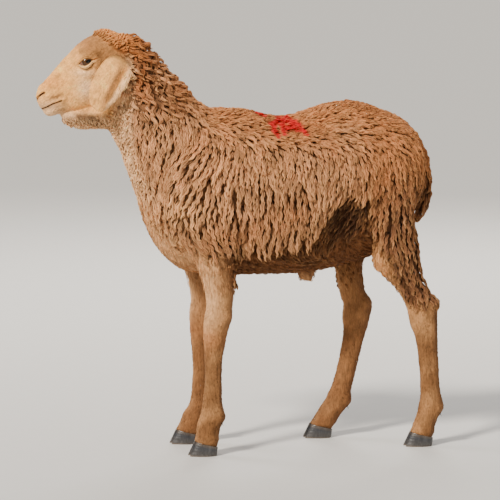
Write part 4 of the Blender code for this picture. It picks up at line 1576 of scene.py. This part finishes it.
def unrolled(points):
    """Place of each point on the unwrap, both between 0 and 1."""
    flat = points[:, [0, 2]]
    best, share, high = np.full(len(points), 9.0), np.zeros(len(points)), np.zeros(len(points))
    for k, (start, end) in enumerate(zip(BODY_AXIS, BODY_AXIS[1:])):
        run = end - start
        t = np.clip(((flat - start) @ run) / (run @ run), 0.0, 1.0)
        away = flat - start - t[:, None] * run
        reach = np.linalg.norm(away, axis=1)
        closer = reach < best
        best = np.where(closer, reach, best)
        share = np.where(closer, (k + t) / (len(BODY_AXIS) - 1), share)
        high = np.where(closer, away @ unit(np.array([-run[1], run[0]])), high)
    turn = np.arctan2(points[:, 1], high) / WHOLE_TURN + 0.5
    u, v = 0.02 + 0.96 * share, 0.44 + 0.54 * turn
    for k, name in enumerate(LIMBS):
        side, behind = side_of(name), points[:, 0] - leg_x(name, points[:, 2])
        mine = (points[:, 2] < 0.36) & (points[:, 1] * side > 0.02) & (np.abs(behind) < 0.09)
        turn = np.arctan2(points[:, 1] - side * 0.075, behind) / WHOLE_TURN + 0.5
        u = np.where(mine, 0.02 + 0.19 * k + 0.17 * turn, u)
        v = np.where(mine, 0.02 + 0.38 * points[:, 2] / 0.36, v)
    ears = on_ear(points) > 0.5
    flat_u = 0.84 + 0.9 * (points[:, 0] + 0.27) + 0.08 * (points[:, 1] > 0)
    u = np.where(ears, np.clip(flat_u, 0.79, 0.98), u)
    v = np.where(ears, 0.04 + 0.34 * line_distance(points, EAR_LINE)[1], v)
    return np.stack([u, v], axis=-1)


print("unrolled round a line of", len(BODY_AXIS), "points")

# %% Strands
GOLDEN_TURN = 2.399963  # radians between one strand of a lock and the next


def framed(centre, normal):
    """The ways along, beside and above each strand."""
    along = unit(np.gradient(centre, axis=2))
    side = unit(np.cross(normal, along))
    return side, np.cross(along, side)


def grown(roots, normals, look):
    """All the strands of these locks as arrays: points, faces, colours, places on the map.

    A strand's centre is guide(t) + B (a w + A sin f) + N (b w / 2 + A' cos f), f = 2 pi L t / l.
    """
    count, strands, t = len(roots), look["strands"], look["stations"]
    rings, total = len(t) - 1, count * look["strands"]
    path, across, share = crept(roots, normals, look)
    length, half_width, wave, phase, wavelength, radius, tones = (
        np.broadcast_to(look[key], count)[:, None, None]
        for key in ("length", "half_width", "wave", "phase", "wavelength", "radius", "tone")
    )
    turn = np.arange(strands) * GOLDEN_TURN + rng.uniform(0, 6.28, (count, 1))
    reach = np.sqrt((np.arange(strands) + 0.35) / strands)
    part = rng.uniform(0.80, 1.0, (count, strands))
    part[:, 0] = 1.0
    wanted = t * part[..., None]
    centre, normal = sampled(path, share, wanted), sampled(across, share, wanted)
    side, normal = framed(centre, normal)
    spread = half_width * (0.55 + 0.75 * wanted) * (1 - 0.80 * ease(wanted, 0.45, 1.0))
    swing = wave * ease(wanted, 0.03, 0.35)
    phase = phase + WHOLE_TURN * (length / wavelength) * wanted
    phase = phase + rng.normal(0, 0.30, (count, strands, 1))
    lateral = (reach * np.cos(turn))[..., None] * spread + swing * np.sin(phase)
    lift = (reach * np.sin(turn))[..., None] * spread * 0.55
    lift = lift + swing * look["lift_share"] * np.cos(phase) * ease(wanted, 0.1, 0.4)
    centre = centre + side * lateral[..., None] + normal * lift[..., None]
    side, normal = framed(centre, normal)
    thick = radius * rng.uniform(0.8, 1.2, (count, strands, 1)) * (0.75 + 0.45 * t - 0.95 * t**3)
    around = np.arange(3) * WHOLE_TURN / 3 + rng.uniform(0, 6.28, (count, strands, 1, 1))
    round_x = (thick[..., None] * np.cos(around))[..., :-1, :]
    round_y = (thick[..., None] * np.sin(around))[..., :-1, :]

    def with_tips(tube, line):
        """Values round each tube, then the last value along its middle, for its tip."""
        size = line.shape[-1]
        tube = tube.reshape(total, 3 * rings, size)
        return np.concatenate([tube, line.reshape(total, -1, size)[:, -1:]], axis=1)

    def thrice(line):
        return np.repeat(line[..., :-1, :], 3, axis=2)

    tube = thrice(centre).reshape(count, strands, rings, 3, 3)
    tube = tube + round_x[..., None] * side[..., :-1, None, :]
    tube = tube + round_y[..., None] * normal[..., :-1, None, :]
    ring_no, corner = np.meshgrid(np.arange(rings - 1), np.arange(3), indexing="ij")
    here, beside = ring_no * 3 + corner, ring_no * 3 + (corner + 1) % 3
    quads = np.stack([here, beside, beside + 3, here + 3], axis=-1).reshape(-1, 4)
    last, each = 3 * (rings - 1), 3 * rings + 1
    tips = np.array([(last + k, last + (k + 1) % 3, 3 * rings) for k in range(3)] + [(0, 2, 1)])
    shift = (np.arange(total) * each)[:, None, None]
    colour = np.broadcast_to(look["colour"][:, None, None, :], wanted.shape + (3,))
    bleached = look["straw"] * rng.uniform(0.1, 1.0, (count, 1, 1)) * ease(wanted, 0.35, 1.0)
    colour = colour + (STRAW - colour) * bleached[..., None]
    tone = rng.normal(1.0, look["spread"], (count, 1, 1))
    tone = tone * rng.normal(1.0, 0.07, (count, strands, 1))
    # the look's shade scales each strand's colour along its length; for locks that is painted
    # shade, darker at the root
    colour = colour * (tone * tones * look["shade"](wanted))[..., None]
    patch = PATCH * np.stack([wanted - 0.5, 0 * wanted], axis=-1)
    on_map = unrolled(roots)[:, None, None, :] + patch
    map_tube = thrice(on_map).reshape(total, rings, 3, 2)
    map_tube = map_tube + PATCH * np.array([[0, -0.4], [0, 0.0], [0, 0.4]])
    far = 0.10 * length * wanted
    fibre = np.stack([round_x, round_y, np.repeat(far[..., :-1, None], 3, axis=-1)], axis=-1)
    ends = np.zeros(wanted.shape + (3,))
    ends[..., 2] = 0.10 * length
    return {
        "points": with_tips(tube, centre),
        "colours": with_tips(thrice(colour), colour),
        "map": with_tips(map_tube, on_map),
        "fibre": with_tips(fibre, ends) + rng.uniform(0, 5.0, (total, 1, 3)),
        "quads": quads + shift,
        "tips": tips + shift,
        "each": each,
        "faces": 6 * rings - 2,
        "place": np.repeat(roots, strands, axis=0),
    }


# %% [markdown]
# ### Six kinds of lock
#
# Long crimped staples on the flanks, neck, shoulders and thighs; long ones in the fold before the
# thigh, dark from darker hair and painted shade; short fine ones along the back and rump, where
# rain and rubbing keep the fleece low; tight small curls on the poll, the throat and the wool's
# front edge; tufts on the belly; and single short hairs on the face, ears and legs, only enough
# of them to break the outline.

# %% A set of locks
sets = []


def even_shade(low, high, start=0.05, end=0.75):
    """Painted shade, dark at the root by low, up to high, as a function of the share along the
    lock.
    """
    return lambda t: low + (high - low) * ease(t, start, end)


def grow(label, roots, normals, **changes):
    """Grows a set of locks; what isn't in changes is worked out at their roots."""
    length, depth = coat_at(roots, normals)
    curl = curl_at(roots)
    look = {
        "length": length * rng.uniform(0.88, 1.14, len(roots)),
        "depth": depth * rng.uniform(0.80, 1.10, len(roots)),
        "half_width": 0.0040 + 0.0010 * curl,
        "radius": 0.00130,
        "wave": 0.0014 + 0.0026 * curl,
        "wavelength": 0.0160 + 0.003 * curl,
        "phase": 2.5 * waves(roots, 0.045, 51) + rng.normal(0, 0.8, len(roots)),
        "lift_share": 0.6,
        "colour": colour_at(roots, normals),
        # painted shade, darker towards the root
        "shade": even_shade(0.55, 1.08),
        "straw": 0.45,  # how far the tips are bleached
        "spread": 0.09,  # of tone from lock to lock
        "tone": 1.0,
        "cut": 1.0,  # how much of the length is left
        "strands": 5,
        "stations": STATIONS,
        "steps": 6,
        "loose": 0.45,  # how freely a lock hangs clear of the skin
        "lean": 0.0,
    }
    look.update(changes)
    look["length"] = look["length"] * look["cut"]
    sets.append(grown(roots, normals, look))
    print(label, len(roots))


# %% Staples
STATIONS = np.array([0.0, 0.20, 0.38, 0.50, 0.60, 0.70, 0.80, 0.90, 1.0])  # closer where it shows
SAME = standing_alike(STRAIGHT)
FINE_AT = ease(NORMALS[:, 2], 0.30, 0.75) + near(SAME, (250, 0, 640), (70, ANY_Y, 45))
FINE_AT = np.clip(FINE_AT, 0, 1) * (STRAIGHT[:, 0] > -0.16)
BODY_AT = 1 - on_head(STRAIGHT)


def staple_gap(roots):
    """How near two staples may stand: wider where they curl, closer on the tail."""
    return (0.0093 + 0.0010 * curl_at(roots)) * (1 - 0.25 * on_tail(roots))


def clumped(roots, gap):
    """From each root, the way to the middle of its clump, and a tone that the clump shares."""
    centres = roots[spaced(roots, np.full(len(roots), gap))]
    tree = tree_of(centres)
    mine = np.array([tree.find(root)[1] for root in roots])
    return centres[mine] - roots, rng.normal(1.0, 0.06, len(centres))[mine]


def deep_shade(roots, low):
    """Painted shade, dark at the root by low, less so on the smooth rump and more on the thigh, and
    full from the middle on.
    """
    same = standing_alike(roots)
    rump = near(same, (270, 0, 630), (110, ANY_Y, 70))
    rump = np.maximum(rump, 0.6 * ease(same[:, 2], 0.60, 0.66) * (same[:, 0] > -0.1))
    thigh = near(same, (330, 0, 400), (70, ANY_Y, 100))
    return even_shade((low + 0.35 * rump - 0.12 * thigh)[:, None, None], 1.10)


def held_down(roots):
    """1 where locks lie close: the lower legs, the tail, the brisket and the front of the thigh."""
    held = 1 - ease(roots[:, 2], 0.32, 0.40) * (1 - on_tail(roots))
    held = np.maximum(held, ease(-roots[:, 0], -0.01, 0.02) * (1 - ease(roots[:, 2], 0.41, 0.45)))
    held = np.maximum(held, near(standing_alike(roots), (235, 0, 410), (40, ANY_Y, 60)))
    return np.clip(1.3 * held, 0, 1)


LONG_AT = np.clip(WOOL_AT * (1 - FINE_AT) * BODY_AT, 0, 1)
roots, normals = scattered(26000, LONG_AT**0.5, staple_gap)
toward, tone = clumped(roots, 0.023)
plain = curl_at(roots) < 0.30
RINGLETS = {
    "strands": 8,
    "half_width": 0.0040,
    "radius": 0.0013,
    "wave": 0.0040,
    "wavelength": 0.026,
    "lift_share": 1.1,
    "spread": 0.15,
    "stations": np.linspace(0.0, 1.0, 10),
}
for label, chosen, change in (("staples", plain, {"strands": 6}), ("ringlets", ~plain, RINGLETS)):
    some = roots[chosen]
    elbow = near(standing_alike(some), (-50, 90, 400), (30, 60, 35))
    grow(
        label, some, normals[chosen],
        lean=0.30 * toward[chosen],
        tone=tone[chosen],
        loose=0.45 * (1 - held_down(some)),
        shade=deep_shade(some, 0.45),
        cut=1 - 0.5 * elbow,
        **change,
    )

# %% Long locks on the fold of skin before the thigh, darker hair with painted shade
FOLD_AT = bell(line_distance(STRAIGHT, FLANK_FOLD)[0], 0.010)
FOLD_AT += 0.35 * near(SAME, (190, 100, 505), (40, 80, 26)) * (1 - WOOL_AT)
FOLD_AT *= NORMALS[:, 1] * np.sign(STRAIGHT[:, 1]) > 0.2
roots, normals = scattered(4000, FOLD_AT, 0.0068)
grow(
    "fold locks", roots, normals,
    length=rng.uniform(0.026, 0.044, len(roots)), depth=rng.uniform(0.003, 0.008, len(roots)),
    half_width=0.0026, radius=0.0010, straw=0.25, spread=0.2,
    strands=4, stations=np.linspace(0.0, 1.0, 7),
)

# %% Fine wool of the back and rump
roots, normals = scattered(24000, (FINE_AT * WOOL_AT * BODY_AT) ** 0.5, 0.0063)
length, depth = coat_at(roots, normals)
grow(
    "fine locks", roots, normals,
    length=np.minimum(length, 0.026) * rng.uniform(0.85, 1.2, len(roots)),
    depth=0.85 * depth * rng.uniform(0.80, 1.10, len(roots)),
    half_width=0.0042, radius=0.00098, wave=0.0009, wavelength=0.012,
    shade=even_shade(0.78, 1.06), strands=6, stations=np.array([0.0, 0.3, 0.55, 0.78, 1.0]),
    steps=4, loose=0.2,
)

# %% Curls of the poll and throat
OFF_EAR = 1 - on_ear(STRAIGHT)
THROAT_AT = near(STRAIGHT, (-250, 0, 600), (40, 80, 90)) * (1 - WOOL_AT)
THROAT_AT = np.maximum(near(STRAIGHT, (-310, 0, 655), (60, 50, 20)), THROAT_AT)
THROAT_AT = THROAT_AT * OFF_EAR * (STRAIGHT[:, 2] > 0.48)
EDGE_AT = ease(WOOL_AT, 0.03, 0.2) * (1 - ease(WOOL_AT, 0.9, 1.0)) * (STRAIGHT[:, 2] > 0.55)
EDGE_AT *= (STRAIGHT[:, 0] < -0.15) * BODY_AT
CURLY_AT = on_head(STRAIGHT) * on_crest(STRAIGHT) + ease(THROAT_AT, 0.25, 0.6) + EDGE_AT
CURLY_AT = np.clip(CURLY_AT, 0, 1) * OFF_EAR
roots, normals = scattered(18000, CURLY_AT, lambda roots: 0.0048 - 0.0006 * on_crest(roots))
crest = on_crest(roots)
grow(
    "curls", roots, normals,
    length=(0.0095 + 0.0045 * crest) * rng.uniform(0.8, 1.2, len(roots)),
    depth=0.0042 + 0.0006 * crest, half_width=0.0026 - 0.0003 * crest,
    radius=0.00100 - 0.0001 * crest, wave=0.0015, wavelength=0.0105, lift_share=0.9,
    shade=even_shade(0.66, 1.12, 0.0, 0.6), strands=4, stations=np.linspace(0.0, 1.0, 6),
    steps=3, loose=0.1,
)

# %% Tufts of the belly
BARE_AT = (1 - WOOL_AT) * (1 - 0.8 * CURLY_AT)
BELLY_AT = BARE_AT * (STRAIGHT[:, 2] > 0.345) * (STRAIGHT[:, 2] < 0.48) * (STRAIGHT[:, 0] > -0.03)
BELLY_AT *= ease(STRAIGHT[:, 0], -0.06, -0.02) * (NORMALS[:, 2] < 0.2) * (NORMALS[:, 0] < 0.6)
BELLY_AT *= 1 - near(STRAIGHT, (136, 0, 338), (26, 50, 18))  # not on the sheath
roots, normals = scattered(3000, BELLY_AT, 0.0085)
grow(
    "belly tufts", roots, normals,
    length=rng.uniform(0.012, 0.020, len(roots)), depth=0.0030 + np.zeros(len(roots)),
    half_width=0.0034, radius=0.0008, wave=0.0010, wavelength=0.012,
    shade=even_shade(0.70, 1.12), straw=0.1, spread=0.15,
    strands=4, stations=np.array([0.0, 0.3, 0.65, 1.0]), steps=3, loose=0.0,
)

# %% Short hairs
roots, normals = scattered(14000, BARE_AT * (eye_edge(STRAIGHT)[0] > 0.0035))
face = on_head(roots) * (roots[:, 2] > 0.62)
belly = (roots[:, 2] > 0.33) * (1 - face)
length = 0.0065 + 0.009 * belly + 0.0015 * (1 - face) * (roots[:, 2] < 0.33)
length *= 1 - 0.5 * near(roots, (-400, 0, 705), (30, 50, 30))
grow(
    "short hairs", roots, normals,
    length=length * rng.uniform(0.7, 1.25, len(roots)), depth=0.0006 + 0.0022 * belly,
    half_width=0.0, radius=0.00036 + 0.0003 * belly + 0.0001 * (1 - face),
    wave=0.0002 + 0.0008 * belly, wavelength=0.012,
    shade=lambda t: 1.12 + 0.22 * face[:, None, None] + 0.08 * t, straw=0.0, spread=0.06,
    strands=1, stations=np.array([0.0, 0.45, 1.0]), steps=2, loose=0.0,
)


# %% Coat pieces, each under 200,000 triangles
def wool_material():
    """Wool: colour from the strands' points, flecked, soft and dull with a slight sheen."""
    made, tree = new_tree("wool")
    colour, place = attribute(tree, "coat", "Color"), object_place(tree)
    fleck = noise(tree, attribute(tree, "fibre", "Vector"), 1300.0, 2.0)
    clouds = noise(tree, place, 45.0)
    colour = tinted(tree, tinted(tree, colour, fleck, 0.78, 1.18), clouds, 0.90, 1.10)
    finish_shader(
        tree, colour, bump(tree, fleck, 0.4, 0.0003),
        Roughness=0.80, Specular_IOR_Level=0.10, Sheen_Weight=0.04, Sheen_Roughness=0.4,
    )
    return made


PIECE_LIMIT = 185000
WOOL_LOOK = wool_material()


def coat_piece(name, rows):
    """Joins chosen strands, rows of (x, set, strand), into one mesh, its head end turned."""
    found = {key: [] for key in ("points", "colours", "map", "fibre", "quads", "tips")}
    count = 0
    for kind, growth in enumerate(sets):
        wanted = np.sort(rows[rows[:, 1] == kind, 2].astype(int))
        for key, values in found.items():
            values.append(growth[key][wanted].reshape(-1, growth[key].shape[-1]))
        shift = (np.arange(len(wanted)) - wanted)[:, None, None] * growth["each"] + count
        for key in ("quads", "tips"):
            faces = growth[key][wanted] + shift
            found[key][-1] = faces.reshape(-1, faces.shape[-1])
        count += len(wanted) * growth["each"]
    straight, colour, spots, fibres, quads, tips = map(np.vstack, found.values())
    red = RADDLE * (0.55 + 0.6 * colour.max(axis=1, keepdims=True))
    colour = colour + (red - colour) * raddle_share(straight)
    mesh = mesh_from(name, turn_head(straight), quads, tips)
    set_attribute(mesh, "coat", np.clip(colour, 0, 1))
    set_attribute(mesh, "fibre", fibres)
    corners = np.concatenate([quads.ravel(), tips.ravel()])
    layer = mesh.uv_layers.new(name="OFBake")
    layer.data.foreach_set("uv", spots[corners].astype(np.float32).ravel())
    add_piece(name, mesh, WOOL_LOOK)


def coat_pieces(word, side):
    """Cuts the coat of one side at planes across the body, with as many triangles to each part."""
    rows = []
    for kind, growth in enumerate(sets):
        x, y, _ = growth["place"].T
        mine = np.flatnonzero(y >= 0 if side > 0 else -y >= 1e-9)
        rows.append(np.stack([x[mine], np.full(len(mine), kind), mine], axis=-1))
    rows = np.vstack(rows)
    rows = rows[np.argsort(rows[:, 0], kind="stable")]
    faces = np.array([growth["faces"] for growth in sets])[rows[:, 1].astype(int)]
    parts = math.ceil(faces.sum() / PIECE_LIMIT)
    group = np.minimum((np.cumsum(faces) * parts / faces.sum()).astype(int), parts - 1)
    for number in range(parts):
        coat_piece(f"coat_{word}_{number + 1}", rows[group == number])
    return parts


number = coat_pieces("left", -1) + coat_pieces("right", 1)
total = sum(growth["faces"] * len(growth["place"]) for growth in sets)
print(number, "coat pieces,", total, "triangles")

# %% [markdown]
# ## The studio
#
# A plain pale floor that runs out of sight, a soft key light from the front left and above, a
# weaker fill beside the camera, and two more behind so that the far side reads as well.

# %% Floor
FLOOR_HALF = 90.0
made, tree = new_tree("floor_paint")
speckle = noise(tree, object_place(tree), 30.0, 4.0)
pale = add_node(tree, "RGB").outputs[0]
pale.default_value = (0.62, 0.60, 0.57, 1.0)
finish_shader(tree, tinted(tree, pale, speckle, 0.99, 1.01), Roughness=0.9)
corners = FLOOR_HALF * np.array([[-1.0, -1, 0], [1, -1, 0], [1, 1, 0], [-1, 1, 0]])
floor = add_object("floor", mesh_from("floor", corners, np.array([[0, 1, 2, 3]])))
floor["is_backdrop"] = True
floor.data.materials.append(made)
print("floor", 2 * FLOOR_HALF, "m square")

# %% Lights
def point_at(thing, way):
    """Turns a light or the camera to look along a direction."""
    thing.rotation_euler = Vector(way).to_track_quat("-Z", "Y").to_euler()


def lamp(name, kind, power, colour, size, place=(0.0, 0.0, 0.0), aim=(0.0, 0.0, 0.40)):
    """A sun, whose size is an angle, or a round area light, at its place and turned to its aim."""
    light = bpy.data.lights.new(name, kind)
    light.energy, light.color = power, colour
    if kind == "SUN":
        light.angle = size
    else:
        light.shape, light.size = "DISK", size
    made = add_object(name, light)
    made.location = place
    point_at(made, Vector(aim) - Vector(place))


WARM = (1.0, 0.97, 0.93)
lamp("key", "SUN", 5.3, (1.0, 0.94, 0.85), math.radians(10), aim=(2.9, 2.3, -3.0))
lamp("fill", "AREA", 22, WARM, 2.6, (1.6, -4.0, 1.4))
lamp("rim", "AREA", 110, WARM, 1.8, (1.5, 3.2, 2.6))
lamp("far_side", "AREA", 70, WARM, 2.0, (-2.4, 2.6, 2.2))
world = bpy.data.worlds.new("studio")
bpy.context.scene.world = world
world.use_nodes = True
sky = world.node_tree.nodes["Background"]
sky.inputs["Color"].default_value = (0.97, 0.98, 1.0, 1.0)
sky.inputs["Strength"].default_value = 0.33
print("lights", [light.name for light in bpy.data.lights])

# %% Camera
CAMERA_TURN = math.radians(-15.0)
CAMERA_AWAY, CAMERA_HEIGHT = 7.0, 1.213
VIEW_WIDTH = 1.0  # metres across the view, at the animal
AIM = Vector((0.0185, 0.0, 0.398))
camera = add_object("camera", bpy.data.cameras.new("camera"))
camera.location = AIM + CAMERA_AWAY * Vector((math.sin(CAMERA_TURN), -math.cos(CAMERA_TURN), 0.0))
camera.location.z = CAMERA_HEIGHT
point_at(camera, AIM - camera.location)
camera.data.angle = 2 * math.atan(VIEW_WIDTH / 2 / (camera.location - AIM).length)
bpy.context.scene.camera = camera
print("camera at", [round(v, 3) for v in camera.location])

# %% Bounds of what is drawn
low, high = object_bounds()
